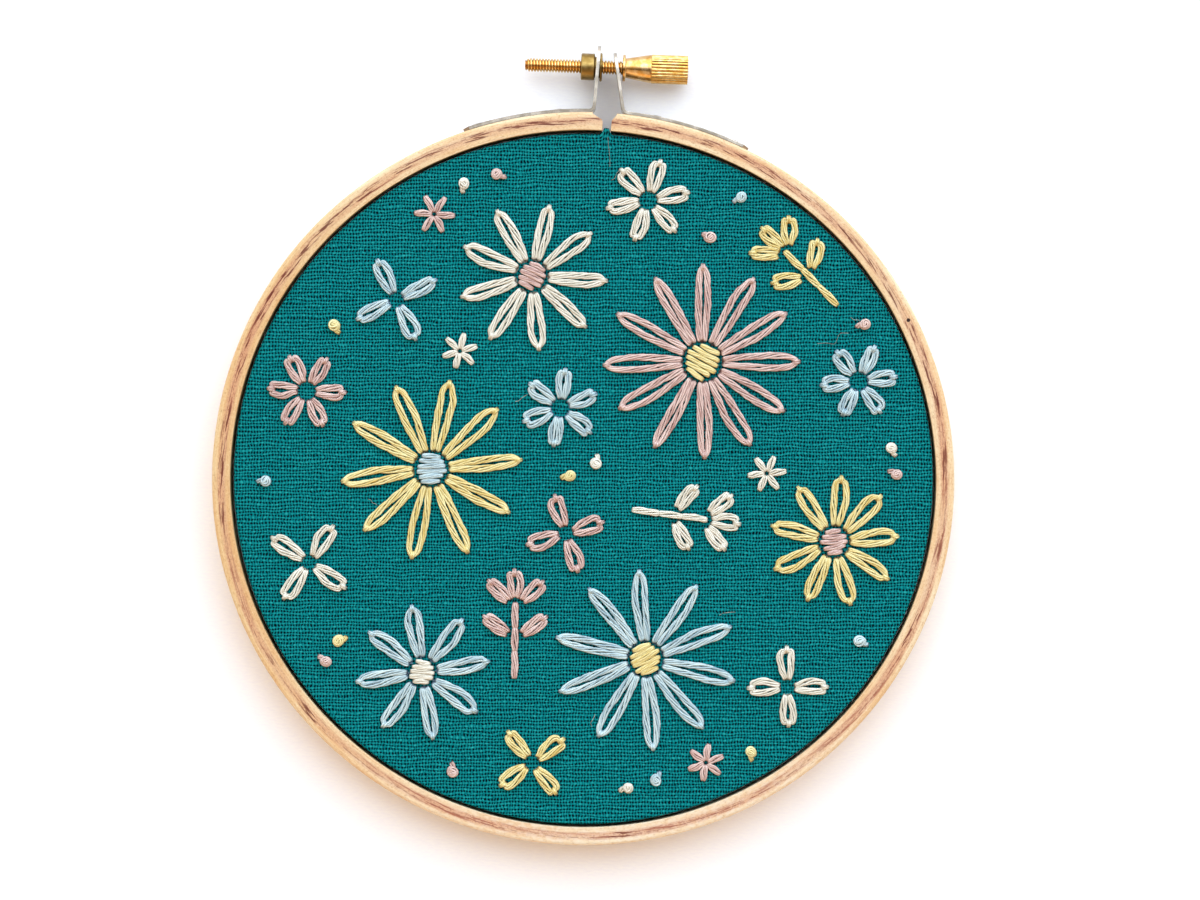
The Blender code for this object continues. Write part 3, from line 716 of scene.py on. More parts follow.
def floss_material(tone):
    """Mercerised cotton in a shaded and a light shade of one colour, and a third colour for painted shade."""
    painted_shade_colour, shade, light = FLOSS_HEX[tone]
    mat, tree, shader = new_material("cotton_floss_mercerised_" + tone, Roughness=0.38,
                                     Specular_IOR_Level=0.8, Sheen_Weight=0.1, Sheen_Roughness=0.4)
    along = attribute(tree, "along", "Fac")
    strand = attribute(tree, "strand", "Fac")

    # Fibres: noise drawn out along the strand and wound round it with the spinning
    wound = node(tree, "ShaderNodeVectorRotate", {
        "Vector": attribute(tree, "section"), "Angle": along * (math.tau / SPIN_PITCH)}, rotation_type="Z_AXIS")
    far = join(Z=along * 350.0 + strand * 9.0)
    fibres = noise(vector_maths("ADD", vector_maths("MULTIPLY", wound, (2.6, 2.6, 0.0)), far),
                   detail=3.0, roughness=0.6)

    # Each strand takes the dye a little differently, and each run is uneven along its length
    own = node(tree, "ShaderNodeTexWhiteNoise", {"W": strand}, "Value", noise_dimensions="1D")
    place = object_place(tree)
    level = fibres * 0.9 + own * 0.25 + noise(place, (260.0, 260.0, 260.0)) * 0.35
    base = mix(smooth_step(level, 0.45, 1.0), shade, light)

    # Painted shade: the creases between strands, where the surface faces sideways, and thread near the cloth on
    # either side of it, are darkened
    flank = abs(split(node(tree, "ShaderNodeNewGeometry", output="Normal"))[2])
    base = mix(smooth_step(flank, 0.7, 0.15) * 0.6, base, painted_shade_colour)
    off_cloth = abs(split(place)[2] - (CLOTH_TOP - 0.22 * MM))
    base = mix(smooth_step(off_cloth, 0.8 * MM, 0.35 * MM) * 0.85, base, painted_shade_colour)
    surface(shader, base, fibres, 0.07 * MM)
    return mat


floss = {tone: floss_material(tone) for tone in FLOSS_HEX}
print("threads:", sorted(floss))

# %% [markdown]
# ## A geometry tree that lays the strands
#
# Modelling six strands by hand for every stitch would be hopeless. The tree takes the runs as
# curves, makes a copy of each for every strand, and moves each copy sideways and up by its place in
# the bundle. That place turns slowly along the run, which is the twist of the floss. A little noise
# lets the strands wander apart. Then a small circle is swept along each, and the three values that
# the material reads are stored on the way.

# %% Geometry tree: stranded floss
STRAND_RADIUS = 0.225 * MM


def new_geometry_tree(name, inputs):
    """A geometry tree with a geometry input and output and the named inputs; returns its ends."""
    tree = bpy.data.node_groups.new(name, "GeometryNodeTree")
    for key, (kind, default) in {"Geometry": ("Geometry", None), **inputs}.items():
        socket = tree.interface.new_socket(name=key, in_out="INPUT", socket_type="NodeSocket" + kind)
        if default is not None:
            socket.default_value = default
    tree.interface.new_socket(name="Geometry", in_out="OUTPUT", socket_type="NodeSocketGeometry")
    given = {socket.name: Value(socket) for socket in add_node(tree, "NodeGroupInput").outputs if socket.name}
    return tree, given, add_node(tree, "NodeGroupOutput").inputs["Geometry"]


def with_tree(obj, tree, **values):
    """The mesh that an object's geometry tree makes. Inputs are set by the names of their sockets."""
    modifier = obj.modifiers.new(tree.name, "NODES")
    modifier.node_group = tree
    for item in tree.interface.items_tree:
        if item.in_out == "INPUT" and item.name.replace(" ", "_") in values:
            modifier[item.identifier] = values[item.name.replace(" ", "_")]
    return applied(obj)


def changed(geometry, kind, inputs, entry="Geometry", **settings):
    """A geometry node that takes a geometry and gives it on, changed."""
    return node(geometry.tree, "GeometryNode" + kind, {entry: geometry, **inputs}, **settings)


def stored(geometry, name, kind, value):
    """The geometry with a value stored on its points under a name."""
    return changed(geometry, "StoreNamedAttribute", {"Name": name, "Value": value}, data_type=kind, domain="POINT")


floss_tree, given, result = new_geometry_tree("stranded_floss", {
    "Strands": ("Int", 6), "Half Width": ("Float", FULL[0]), "Half Height": ("Float", FULL[1]),
    "Strand Radius": ("Float", STRAND_RADIUS), "Twist Length": ("Float", 17.0 * MM),
    "Wander": ("Float", 0.3 * MM), "Seed": ("Float", 0.0), "Material": ("Material", None)})
copies = add_node(floss_tree, "GeometryNodeDuplicateElements",
                  {"Geometry": given["Geometry"], "Amount": given["Strands"]}, domain="SPLINE")
index = Value(copies.outputs["Duplicate Index"])
run_length = node(floss_tree, "GeometryNodeSplineParameter", output="Length")
spread = node(floss_tree, "GeometryNodeInputRadius")

# The strand's place in the bundle
turn = index * math.tau / given["Strands"] + run_length * math.tau / given["Twist Length"]
tangent = node(floss_tree, "GeometryNodeInputTangent")
sideways = vector_maths("NORMALIZE", vector_maths("CROSS_PRODUCT", tangent, (0.0, 0.0, 1.0)))
across = scaled(sideways, maths("COSINE", turn) * given["Half Width"] * spread)
upward = join(Z=maths("SINE", turn) * given["Half Height"])

# Its wandering from there
drift = node(floss_tree, "ShaderNodeTexNoise", {
    "Vector": node(floss_tree, "GeometryNodeInputPosition"), "W": index * 3.7 + given["Seed"],
    "Scale": 330.0, "Detail": 1.0}, "Color", noise_dimensions="4D")
drift = scaled(vector_maths("SUBTRACT", drift, (0.5, 0.5, 0.5)), given["Wander"] * maths("POWER", spread, 2.0))
drift = vector_maths("MULTIPLY", drift, (2.0, 2.0, 0.8))
offset = vector_maths("ADD", vector_maths("ADD", across, upward), drift)

strands = stored(Value(copies.outputs["Geometry"]), "strand", "FLOAT", index)
strands = stored(strands, "along", "FLOAT", run_length)
strands = changed(strands, "SetPosition", {"Offset": offset})
strands = changed(strands, "SetCurveRadius", {"Radius": 1.0}, "Curve")
circle = node(floss_tree, "GeometryNodeCurvePrimitiveCircle",
              {"Resolution": 6, "Radius": given["Strand Radius"]}, "Curve")
circle = stored(circle, "section", "FLOAT_VECTOR",
                vector_maths("NORMALIZE", node(floss_tree, "GeometryNodeInputPosition")))
swept = changed(strands, "CurveToMesh", {"Profile Curve": circle, "Fill Caps": True}, "Curve")
for kind, inputs in (("SetShadeSmooth", {}), ("RealizeInstances", {}),
                     ("SetMaterial", {"Material": given["Material"]})):
    swept = changed(swept, kind, inputs)
link(swept, result)
print("tree:", floss_tree.name, "nodes:", len(floss_tree.nodes))


# %% Lay the floss along every run
def curve_object(name, lines):
    """A curve object of straight-edged lines through (x, y, z, radius) points."""
    curve = bpy.data.curves.new(name, "CURVE")
    curve.dimensions = "3D"
    for line in lines:
        spline = curve.splines.new("POLY")
        spline.points.add(len(line) - 1)
        spline.points.foreach_set("co", [value for point in line for value in (*point[:3], 1.0)])
        spline.points.foreach_set("radius", [point[3] for point in line])
    return placed(name, curve)


def floss_mesh(name, runs, tone, strands=6, strand_radius=STRAND_RADIUS, seed=0.0):
    """The mesh of all runs, grouped by the size of their bundle."""
    joined = bmesh.new()
    for size in sorted({(run.wide, run.high) for run in runs}):
        obj = curve_object(name, [run.points for run in runs if (run.wide, run.high) == size])
        mesh = with_tree(obj, floss_tree, Strands=strands, Half_Width=size[0], Half_Height=size[1],
                         Strand_Radius=strand_radius, Seed=seed, Material=floss[tone])
        joined.from_mesh(mesh)
        bpy.data.meshes.remove(mesh)
    mesh = bpy.data.meshes.new(name)
    joined.to_mesh(mesh)
    joined.free()
    return mesh


stitched = []
for number, motif in enumerate(motifs):
    name = motif.node + "_stitches"
    mesh = floss_mesh(name, motif.runs, motif.tone, 4 if motif.node.startswith("knot") else 6, seed=number * 0.37)
    stitched.append(piece(name, mesh, floss[motif.tone], slot="floss_" + motif.tone, replaces=[motif.node]))
print("stitched pieces:", len(stitched), "triangles:",
      sum(len(p.vertices) - 2 for s in stitched for p in s.data.polygons))

# %% [markdown]
# ## Teal cloth
#
# The ground is a plain weave of linen and cotton, dyed teal, with about 39 threads to the inch one
# way and 33 the other. At this size the weave is what makes the surface read as cloth: rows of
# rounded threads, tiny dark holes where four threads meet, thicker slubs here and there. The threads
# cross some 36,000 times, too often to model each crossing, so the weave is a height and a colour
# worked out from the flat cloth's own coordinates, which are stored as a UV map in metres. The
# threads run level in the picture, so they lie askew in the hoop by the camera's roll.

# %% Cloth material
THREAD_ACROSS, THREAD_DOWN = 0.65 * MM, 0.765 * MM


def cloth_material():
    mat, tree, shader = new_material("linen_cotton_plain_weave_teal", Roughness=0.9, Specular_IOR_Level=0.05)
    flat = node(tree, "ShaderNodeUVMap", output="UV", uv_map="flat")

    # Each thread strays sideways on its own, so the pin-holes don't line up from row to row
    stray_x = noise(flat, (0.25 / THREAD_ACROSS, 0.45 / THREAD_DOWN, 0.0)) - 0.5
    stray_y = noise(flat, (170.0, 0.35 / THREAD_DOWN, 0.0)) - 0.5
    stray = join(X=stray_x * (1.7 * THREAD_ACROSS), Y=stray_y * (1.6 * THREAD_DOWN))
    woven = vector_maths("ADD", flat, stray)
    x, y, _ = split(woven)

    # Threads are centred where the cosine is one or minus one, and its sign says which lies on top
    warp = maths("COSINE", x * (math.pi / THREAD_ACROSS))
    weft = maths("COSINE", y * (math.pi / THREAD_DOWN))
    over = warp * weft * 0.26
    warp_high = maths("POWER", abs(warp), 0.5) * (over + 0.68)
    weft_high = maths("POWER", abs(weft), 0.5) * (0.78 - over)
    height = maths("SMOOTH_MAX", warp_high, weft_high, 0.1)

    # Pin-holes where four threads meet, some of them wide open and some nearly closed, painted near-black for the
    # shade seen through them
    beside = (1.0 - abs(warp)) * (1.0 - abs(weft))
    open_share = noise(flat, (0.55 / THREAD_ACROSS, 0.55 / THREAD_DOWN, 0.0), 1.0)
    hole = smooth_step(beside, 0.08, 0.42) * smooth_step(open_share, 0.22, 0.55)

    # Slubs: lighter, thicker stretches of single threads, several millimetres long
    slub_weft = noise(woven, (140.0, 1.0 / THREAD_DOWN, 0.0))
    slub_warp = noise(woven, (1.0 / THREAD_ACROSS, 120.0, 0.0))
    slubs = smooth_step(slub_weft, 0.54, 0.8) + smooth_step(slub_warp, 0.56, 0.8) * 0.6
    tone = noise(woven, (1100.0, 1400.0, 0.0), 2.0, 0.7)
    # Painted light and shade: thread crowns are lighter, hollows and pin-holes darker, over slubs and random tone
    level = height * 0.7 + slubs * 0.12 + (tone - 0.5) * 0.6 + 0.14 - hole * 1.5
    base = ramp(level, [(0.0, "#000F18"), (0.25, "#00333C"), (0.5, "#005961"), (0.72, "#00767D"),
                        (1.0, "#279FA1")])
    surface(shader, base, height * 0.6 + slubs * 0.3 - hole, 0.12 * MM)
    return mat


teal = cloth_material()
print("cloth:", teal.name, "threads to the inch:", round(25.4 * MM / THREAD_ACROSS), round(25.4 * MM / THREAD_DOWN))

# %% [markdown]
# ## The stretched cloth
#
# The cloth is one sheet: flat across the inner ring, folded over its edge with a small radius, and
# carried down between the rings to a hem that is cut off just above the back. It is a surface of
# circles round one profile. Needle holes pull it down a little, and where the outer ring is split
# nothing presses it, so it bulges into the gap. Solidify gives it its real thickness.

# %% Cloth: one sheet over the inner ring and down between the rings
CLOTH_THICK = 0.45 * MM
CLOTH_EDGE = CLOTH_RADIUS - 0.25 * MM
FOLD = 0.4 * MM
HEM = 1.0 * MM
SPOKES, FLAT_ROWS, FOLD_ROWS, WALL_ROWS = 300, 84, 5, 6
DENT_DEPTH, DENT_WIDTH = 0.16 * MM, 0.75 * MM
BULGE, BULGE_HALF = 1.4 * MM, 0.86 * MM


def cloth_profile():
    """(radius, height, flat distance from the middle) from the middle of the cloth to its hem."""
    flat_edge = CLOTH_EDGE - FOLD
    rows = [(flat_edge * k / FLAT_ROWS, CLOTH_TOP, flat_edge * k / FLAT_ROWS) for k in range(1, FLAT_ROWS + 1)]
    for step in range(1, FOLD_ROWS + 1):
        turn = math.radians(90.0 * step / FOLD_ROWS)
        rows.append((flat_edge + FOLD * math.sin(turn), CLOTH_TOP - FOLD * (1 - math.cos(turn)),
                     flat_edge + FOLD * turn))
    start = rows[-1]
    for step in range(1, WALL_ROWS + 1):
        drop = (start[1] - HEM) * step / WALL_ROWS
        rows.append((start[0], start[1] - drop, start[2] + drop))
    return rows


def cloth_mesh():
    """The cloth's mesh, with its flat coordinates as a UV map, and the flat radius it is cut to."""
    rows = cloth_profile()
    radius, height, flat = (np.array(column)[:, None] for column in zip(*rows))

    # The spokes are gathered towards the gap, where the cloth bulges
    angle = np.linspace(0.0, math.tau, SPOKES, endpoint=False)[None, :]
    gather = math.pi / 2
    angle = angle - 0.85 * np.sin(angle - gather) * np.exp(-2 * (1 - np.cos(angle - gather)) / 0.1)
    x, y = radius * np.cos(angle), radius * np.sin(angle) * HOOP_OVAL
    z = height + 0 * angle

    # Slow unevenness of a few hundredths of a millimetre, and a dent at every needle hole
    z = z + 0.04 * MM * (np.sin(90 * x + 1.3) * np.sin(75 * y) + 0.7 * np.sin(150 * x - 110 * y))
    dent = np.zeros_like(z)
    for hole in holes:
        away = (x + CENTRE.x - hole.x) ** 2 + (y + CENTRE.y - hole.y) ** 2
        dent += np.exp(-away / (2 * DENT_WIDTH ** 2))
    z = z - DENT_DEPTH * np.minimum(dent, 1.4)

    # Where the rim is split, the wall of the cloth bulges into the gap by a good millimetre
    near_edge = np.clip((radius - CLOTH_EDGE + 2.0 * MM) / (1.5 * MM), 0.0, 1.0)
    y = y + BULGE * np.exp(-(x / BULGE_HALF) ** 6) * (y > 0) * near_edge

    points = [from_centre(0.0, 0.0, CLOTH_TOP)]
    points += [from_centre(*p) for p in zip(x.ravel(), y.ravel(), z.ravel())]
    faces = [(0, 1 + k, 1 + (k + 1) % SPOKES) for k in range(SPOKES)]
    mesh = mesh_from("cloth", points, faces + band_faces(len(rows), SPOKES, first=1))

    u, v = flat * np.cos(angle), flat * np.sin(angle) * HOOP_OVAL
    cos, sin = math.cos(CAMERA_ROLL), math.sin(CAMERA_ROLL)
    laid_flat = np.stack([(u * cos + v * sin).ravel(), (v * cos - u * sin).ravel()], 1)
    laid_flat = np.vstack([[0.0, 0.0], laid_flat])
    corners = np.empty(len(mesh.loops), dtype=np.int32)
    mesh.loops.foreach_get("vertex_index", corners)
    mesh.uv_layers.new(name="flat").data.foreach_set("uv", laid_flat[corners].astype(np.float32).ravel())
    return mesh, float(flat[-1, 0])


cloth_surface, flat_radius = cloth_mesh()
cloth = piece("ground_cloth", cloth_surface, teal, slot="ground_cloth", replaces=["cloth"])
thick = cloth.modifiers.new("cloth_thickness", "SOLIDIFY")
thick.thickness = CLOTH_THICK
thick.offset = -1.0
print("cloth cut to a disc", round(2 * flat_radius / MM, 1), "mm across; faces", len(cloth_surface.polygons))

# %% [markdown]
# ## Backs of the stitches
#
# Turned over, the cloth shows where the thread travelled: from each petal's tip back to the hub.
# These runs are plain straight ones against the cloth's underside, laid by the same tree.

# %% Thread on the back of the cloth
def back_runs(flower):
    """One straight run behind each petal, from hub to tip."""
    down = -CLOTH_THICK - 0.25 * MM
    start, end = flower.hub * MM, (flower.reach - 0.9) * MM
    points = [(start, 0.0, -0.3 * MM), (start + 0.6 * MM, 0.0, down), ((start + end) / 2, 0.1 * MM, down - 0.1 * MM),
              (end - 0.6 * MM, 0.0, down), (end, 0.0, -0.3 * MM)]
    runs = []
    for index in range(flower.petals):
        place = stitch_frame(flower.x, flower.y, flower.turn + 360.0 * index / flower.petals)
        moved = [Vector((*(place @ Vector(p)), 0.8)) for p in points]
        runs.append(Run(smooth_line(moved, 3), *FULL))
    return runs


for tone in FLOSS_HEX:
    runs = [run for f in DAISIES + BLOSSOMS if f.floss == tone for run in back_runs(f)]
    mesh = floss_mesh("stitch_backs_" + tone, runs, tone, 4)
    piece("stitch_backs_" + tone, mesh, floss[tone], slot="floss_" + tone)
print("backs laid in", len(FLOSS_HEX), "threads")

# %% [markdown]
# ## Lint
#
# A few pale hairs of cotton, a tenth of a millimetre thick, lie on any finished embroidery. Each is
# a short curve through five points over the cloth, laid as a single strand by the same tree.

# %% Loose hairs on the cloth
HAIR_RADIUS = 0.045 * MM
LINT = [(52.0, 33.5, 7.0, 25.0), (57.0, 38.0, 3.5, -20.0), (1.0, 71.0, 6.5, 96.0), (2.8, 66.0, 3.0, 60.0),
        (-14.5, 16.5, 3.0, 40.0), (33.0, -27.0, 3.5, 10.0), (-45.0, -8.0, 2.5, -35.0), (5.5, -52.0, 2.8, 80.0)]


def hair(x, y, length, degrees):
    """One hair at (x, y), in millimetres, that wanders as it goes."""
    place = stitch_frame(x, y, degrees)
    points = []
    for step in range(5):
        way = length * MM * (step / 4 - 0.5)
        lift = (0.08 + 0.3 * hand.random()) * MM
        points.append(Vector((*(place @ Vector((way, hand.uniform(-0.12, 0.12) * length * MM, lift))), 0.0)))
    return Run(smooth_line(points, 5), 0.01 * MM, 0.01 * MM)


lint = floss_mesh("lint_hairs", [hair(*row) for row in LINT], "ecru", 1, HAIR_RADIUS)
piece("lint_hairs", lint, floss["ecru"], slot="floss_ecru")
print("hairs:", len(LINT), "faces:", len(lint.polygons))

# %% [markdown]
# ## Brass and steel
#
# The screw and its nut are turned from brass bar and left bright, so they show sharp streaks of
# light and dark with the faintest rings from the tool. The nut has dulled a little. The brackets
# are thin plated steel strip, greyer and softer in their shine. Turned pieces carry a "turned"
# place: how far along the axis, how far from it, and the angle round it.

# %% Metal materials
def brass_material(name, tint, roughness, low, high, dirt_and_shade="#AC7A30", tool_marks=0.012 * MM):
    """Turned brass with tool marks of a given depth. What lies nearer the axis than low is darker, partly dirty and
    partly painted shade in the grooves; from high outwards it is clean."""
    mat, tree, shader = new_material(name, Metallic=1.0, Roughness=roughness)
    turned = attribute(tree, "turned")
    patches = noise(object_place(tree), (700.0, 700.0, 700.0), 3.0)
    base = mix(smooth_step(patches, 0.35, 0.75), *tint)
    # Groove bottoms, nearer the axis than low, are darker: partly dirty, partly painted shade
    base = mix(smooth_step(split(turned)[1], low, high), dirt_and_shade, base)
    rough = node(tree, "ShaderNodeMapRange", {
        "Value": patches, "To Min": roughness * 0.75, "To Max": roughness * 1.4})
    link(rough, shader.inputs["Roughness"])
    surface(shader, base, noise(turned, (9000.0, 3000.0, 0.0)), tool_marks)
    return mat


def steel_material():
    """Plated strip: a little cloudy, and drawn lengthwise."""
    mat, tree, shader = new_material("steel_strip_zinc_plated", Metallic=1.0, Roughness=0.24)
    place = object_place(tree)
    cloudy = noise(place, (350.0, 350.0, 350.0), 3.0)
    drawn = noise(place, (400.0, 400.0, 5000.0), 3.0)
    surface(shader, mix(smooth_step(cloudy, 0.35, 0.7), "#9F9689", "#CEC6BB"), drawn, 0.006 * MM)
    return mat


bright_brass = brass_material("brass_turned_bright", ("#CB9B53", "#E3C592"), 0.2, 0.0, 0.1 * MM)
# Thread roots and the grooves between the reeds are darker: partly dirty, partly painted shade
thread_brass = brass_material("brass_cut_thread", ("#D0A355", "#E7CE95"), 0.2, 1.08 * MM, 1.3 * MM, "#B78648")
reeded_brass = brass_material("brass_reeded", ("#D0A355", "#E7CE95"), 0.2, 2.9 * MM, 3.03 * MM, "#6C3E0D",
                              0.002 * MM)
dull_brass = brass_material("brass_turned_dulled", ("#866C39", "#AD935B"), 0.34, 0.0, 0.1 * MM)
steel = steel_material()
print("metals:", bright_brass.name, dull_brass.name, steel.name)

# %% [markdown]
# ## The tension screw
#
# The thread is a V groove that climbs one pitch a turn. A stack of rings would look the same from
# one side, but the real groove is a helix, so the radius of every point follows its place along the
# axis less its share of a turn. The shank, collar and cone are turned profiles. The barrel's knurl
# is straight reeding: a geometry tree puts a round rod at each of its places round the barrel.

# %% Turned surfaces on the screw's axis
SCREW_Y = 89.5 * MM
SCREW_SKEW = math.radians(1.8)
SCREW_TIP, SCREW_END = -18.6 * MM, 16.8 * MM
THREAD_RADIUS = 1.475 * MM
THREAD_PITCH, THREAD_DEPTH = 0.65 * MM, 0.36 * MM
THREAD_SIDES, ROWS_PER_TURN = 28, 12
TIP_TAPER = 0.9 * MM
COLLAR_START, COLLAR_END, COLLAR_RADIUS = 2.6 * MM, 3.2 * MM, 2.9 * MM
NECK_RADIUS = 2.1 * MM
BARREL_START, BARREL_RADIUS, KNURLS = 8.7 * MM, 3.12 * MM, 25
BARREL_CORE = BARREL_RADIUS - 0.36 * MM

axis_place = (Matrix.Translation(from_centre(0.0, SCREW_Y, SCREW_Z)) @ Matrix.Rotation(SCREW_SKEW, 4, "Z")
              @ Matrix.Rotation(math.pi / 2, 4, "Y"))


def turned_mesh(name, profile, sides, radius_at=None, sharp=35.0):
    """A closed turned solid on the screw's axis, from (place along the axis, radius) points."""
    points, turned = [], []
    for height, radius in profile:
        for k in range(sides):
            angle = math.tau * k / sides
            own = radius_at(height, angle, radius) if radius_at else radius
            points.append(axis_place @ Vector((own * math.cos(angle), own * math.sin(angle), height)))
            turned.append((height, own, angle))
    faces = [(a, d, c, b) for a, b, c, d in band_faces(len(profile), sides)]
    for row, height in ((0, profile[0][0]), (len(profile) - 1, profile[-1][0])):
        middle = len(points)
        points.append(axis_place @ Vector((0.0, 0.0, height)))
        turned.append((height, 0.0, 0.0))
        for k in range(sides):
            pair = (row * sides + k, row * sides + (k + 1) % sides)
            faces.append((middle, *reversed(pair)) if row == 0 else (middle, *pair))
    return mesh_from(name, points, faces, sharp, turned=turned)


def rounded_steps(corners, ease):
    """A profile whose corners are each eased by two points."""
    rows = [corners[0]]
    for before, corner, after in zip(corners, corners[1:], corners[2:]):
        here = Vector(corner)
        for other in (before, after):
            way = Vector(other) - here
            rows.append(tuple(here + way.normalized() * min(ease, 0.4 * way.length)))
    return rows + [corners[-1]]


def thread_radius(height, angle, radius):
    """The V thread: full radius on the crest, less the depth in the groove, tapered at the tip."""
    share = (height / THREAD_PITCH - angle / math.tau) % 1.0
    groove = 1.0 - abs(2.0 * share - 1.0)
    tip = min(1.0, (height - SCREW_TIP) / TIP_TAPER)
    return (radius - THREAD_DEPTH * min(1.0, max(0.0, 1.9 * groove - 0.65))) * (0.72 + 0.28 * tip)


thread_length = COLLAR_START - SCREW_TIP
thread_rows = round(thread_length / THREAD_PITCH * ROWS_PER_TURN)
thread_profile = [(SCREW_TIP + thread_length * k / thread_rows, THREAD_RADIUS) for k in range(thread_rows + 1)]
thread = turned_mesh("thread", thread_profile, THREAD_SIDES, thread_radius, sharp=80.0)

head_profile = rounded_steps([
    (COLLAR_START, 1.0 * MM), (COLLAR_START, COLLAR_RADIUS), (COLLAR_END, COLLAR_RADIUS), (COLLAR_END, NECK_RADIUS),
    (BARREL_START, BARREL_RADIUS - 0.03 * MM), (BARREL_START + 0.5 * MM, BARREL_CORE),
    (SCREW_END - 0.1 * MM, BARREL_CORE), (SCREW_END, BARREL_RADIUS - 0.6 * MM), (SCREW_END, 0.4 * MM)], 0.12 * MM)
head = turned_mesh("head", head_profile, 96)
print("thread turns:", round(thread_length / THREAD_PITCH, 1), "faces:", len(thread.polygons))

# %% Geometry tree: reeding round the barrel
reeding_tree, given, result = new_geometry_tree("barrel_reeding", {
    "Rods": ("Int", KNURLS), "Rod Radius": ("Float", 0.4 * MM), "Ring Radius": ("Float", 2.74 * MM),
    "Rod Length": ("Float", 8.0 * MM), "Material": ("Material", None)})
places = node(reeding_tree, "GeometryNodeMeshCircle", {"Vertices": given["Rods"], "Radius": given["Ring Radius"]})
rod = node(reeding_tree, "GeometryNodeMeshCylinder", {"Vertices": 16, "Side Segments": 1, "Fill Segments": 1,
                                                      "Radius": given["Rod Radius"], "Depth": given["Rod Length"]})
rods = changed(changed(places, "InstanceOnPoints", {"Instance": rod}, "Points"), "RealizeInstances", {})
x, y, z = split(node(reeding_tree, "GeometryNodeInputPosition"))
from_axis = maths("SQRT", maths("POWER", x, 2.0) + maths("POWER", y, 2.0))
rods = stored(rods, "turned", "FLOAT_VECTOR", join(X=z, Y=from_axis))
link(changed(rods, "SetMaterial", {"Material": given["Material"]}), result)

reeding = placed("reeding", bpy.data.meshes.new("reeding"))
reeding.matrix_world = axis_place @ Matrix.Translation((0.0, 0.0, (BARREL_START + SCREW_END + 0.1 * MM) / 2))
reeded = with_tree(reeding, reeding_tree, Rods=KNURLS, Rod_Length=SCREW_END - BARREL_START - 0.25 * MM,
                   Material=bright_brass)
reeded.shade_smooth()
reeded.set_sharp_from_angle(angle=math.radians(50))

screw_parts = {"screw_head": (head, bright_brass), "screw_thread": (thread, thread_brass),
               "screw_reeding": (reeded, reeded_brass)}
for name, (mesh, mat) in screw_parts.items():
    piece(name, mesh, mat, body=SCREW, slot="brass", replaces=["tension_screw"])
    print(name, "faces:", len(mesh.polygons))

# %% [markdown]
# ## Nut, brackets and their heads
#
# The nut is a round body outside the left ear and a thin flange inside it, joined through the ear.
# Each bracket is one strip bent sharply at the gap: a foot that follows the ring's wall and an ear
# with a rounded end. It is built as a sheet along its centre line, thickened, drilled and eased.

# %% Nut in the left ear
NUT_BODY_END, NUT_BODY_RADIUS = -6.45 * MM, 2.9 * MM
NUT_NECK_START, NUT_NECK_END, NUT_NECK_RADIUS = -3.5 * MM, -2.4 * MM, 2.2 * MM
NUT_FLANGE_END, NUT_FLANGE_RADIUS = -1.85 * MM, 3.1 * MM
NUT_HOLE = 1.5 * MM
nut_profile = rounded_steps([(NUT_BODY_END, NUT_HOLE), (NUT_BODY_END, NUT_BODY_RADIUS),
                             (NUT_NECK_START, NUT_BODY_RADIUS), (NUT_NECK_START, NUT_NECK_RADIUS),
                             (NUT_NECK_END, NUT_NECK_RADIUS), (NUT_NECK_END, NUT_FLANGE_RADIUS),
                             (NUT_FLANGE_END, NUT_FLANGE_RADIUS), (NUT_FLANGE_END, NUT_HOLE)], 0.18 * MM)
piece("nut_turned", turned_mesh("nut_turned", nut_profile, 72), dull_brass, slot="brass", replaces=["nut"])

# %% Brackets of bent strip
STRIP_THICK, STRIP_WIDTH = 0.7 * MM, 7.5 * MM
FOOT_REACH, FOOT_TAPER = 22.5, 0.9     # degrees round the ring
BEND_REACH = 1.2 * MM
SEAT_GAP = 0.12 * MM
Ear = namedtuple("Ear", "side base_x top_x top_y hole")
EARS = {"left": Ear(-1, -3.0 * MM, -2.7 * MM, 94.0 * MM, 2.3 * MM),
        "right": Ear(1, 3.4 * MM, 0.7 * MM, 92.7 * MM, 1.7 * MM)}


def rim_point(angle, beyond):
    """A point beyond the rim's outer wall, at an angle in degrees from the gap towards +X."""
    turn = math.radians(angle)
    radius = RIM_OUTER + beyond
    return Vector((radius * math.sin(turn), radius * math.cos(turn) * HOOP_OVAL))


def bracket_columns(ear):
    """The strip's centre line as (point, width): along the foot, round the bend, up the ear."""
    line = SEAT_GAP + STRIP_THICK / 2
    corner_angle = math.degrees(math.asin(abs(ear.base_x) / RIM_OUTER))
    corner = rim_point(ear.side * corner_angle, line)
    top = Vector((ear.top_x, ear.top_y))
    up = (top - corner).normalized()
    bend_angle = corner_angle + math.degrees(BEND_REACH / RIM_OUTER)
    columns = [(rim_point(ear.side * FOOT_REACH, line - 0.2 * MM), 0.7 * STRIP_WIDTH)]
    for share in np.linspace(0.0, 1.0, 25):
        angle = (FOOT_REACH - FOOT_TAPER) * (1 - share) + bend_angle * share
        columns.append((rim_point(ear.side * angle, line), STRIP_WIDTH))
    bend_start, bend_end = columns[-1][0], corner + up * BEND_REACH
    for share in np.linspace(0.15, 1.0, 7):
        point = bend_start * (1 - share) ** 2 + corner * 2 * share * (1 - share) + bend_end * share ** 2
        columns.append((point, STRIP_WIDTH))

    # The ear's rounded end: the strip narrows along a half circle
    turns = [math.radians(degrees) for degrees in range(90, 5, -10)]
    for turn in turns:
        point = top - up * STRIP_WIDTH / 2 * (math.cos(turns[-1]) - math.cos(turn))
        columns.append((point, STRIP_WIDTH * math.sin(turn)))
    return columns


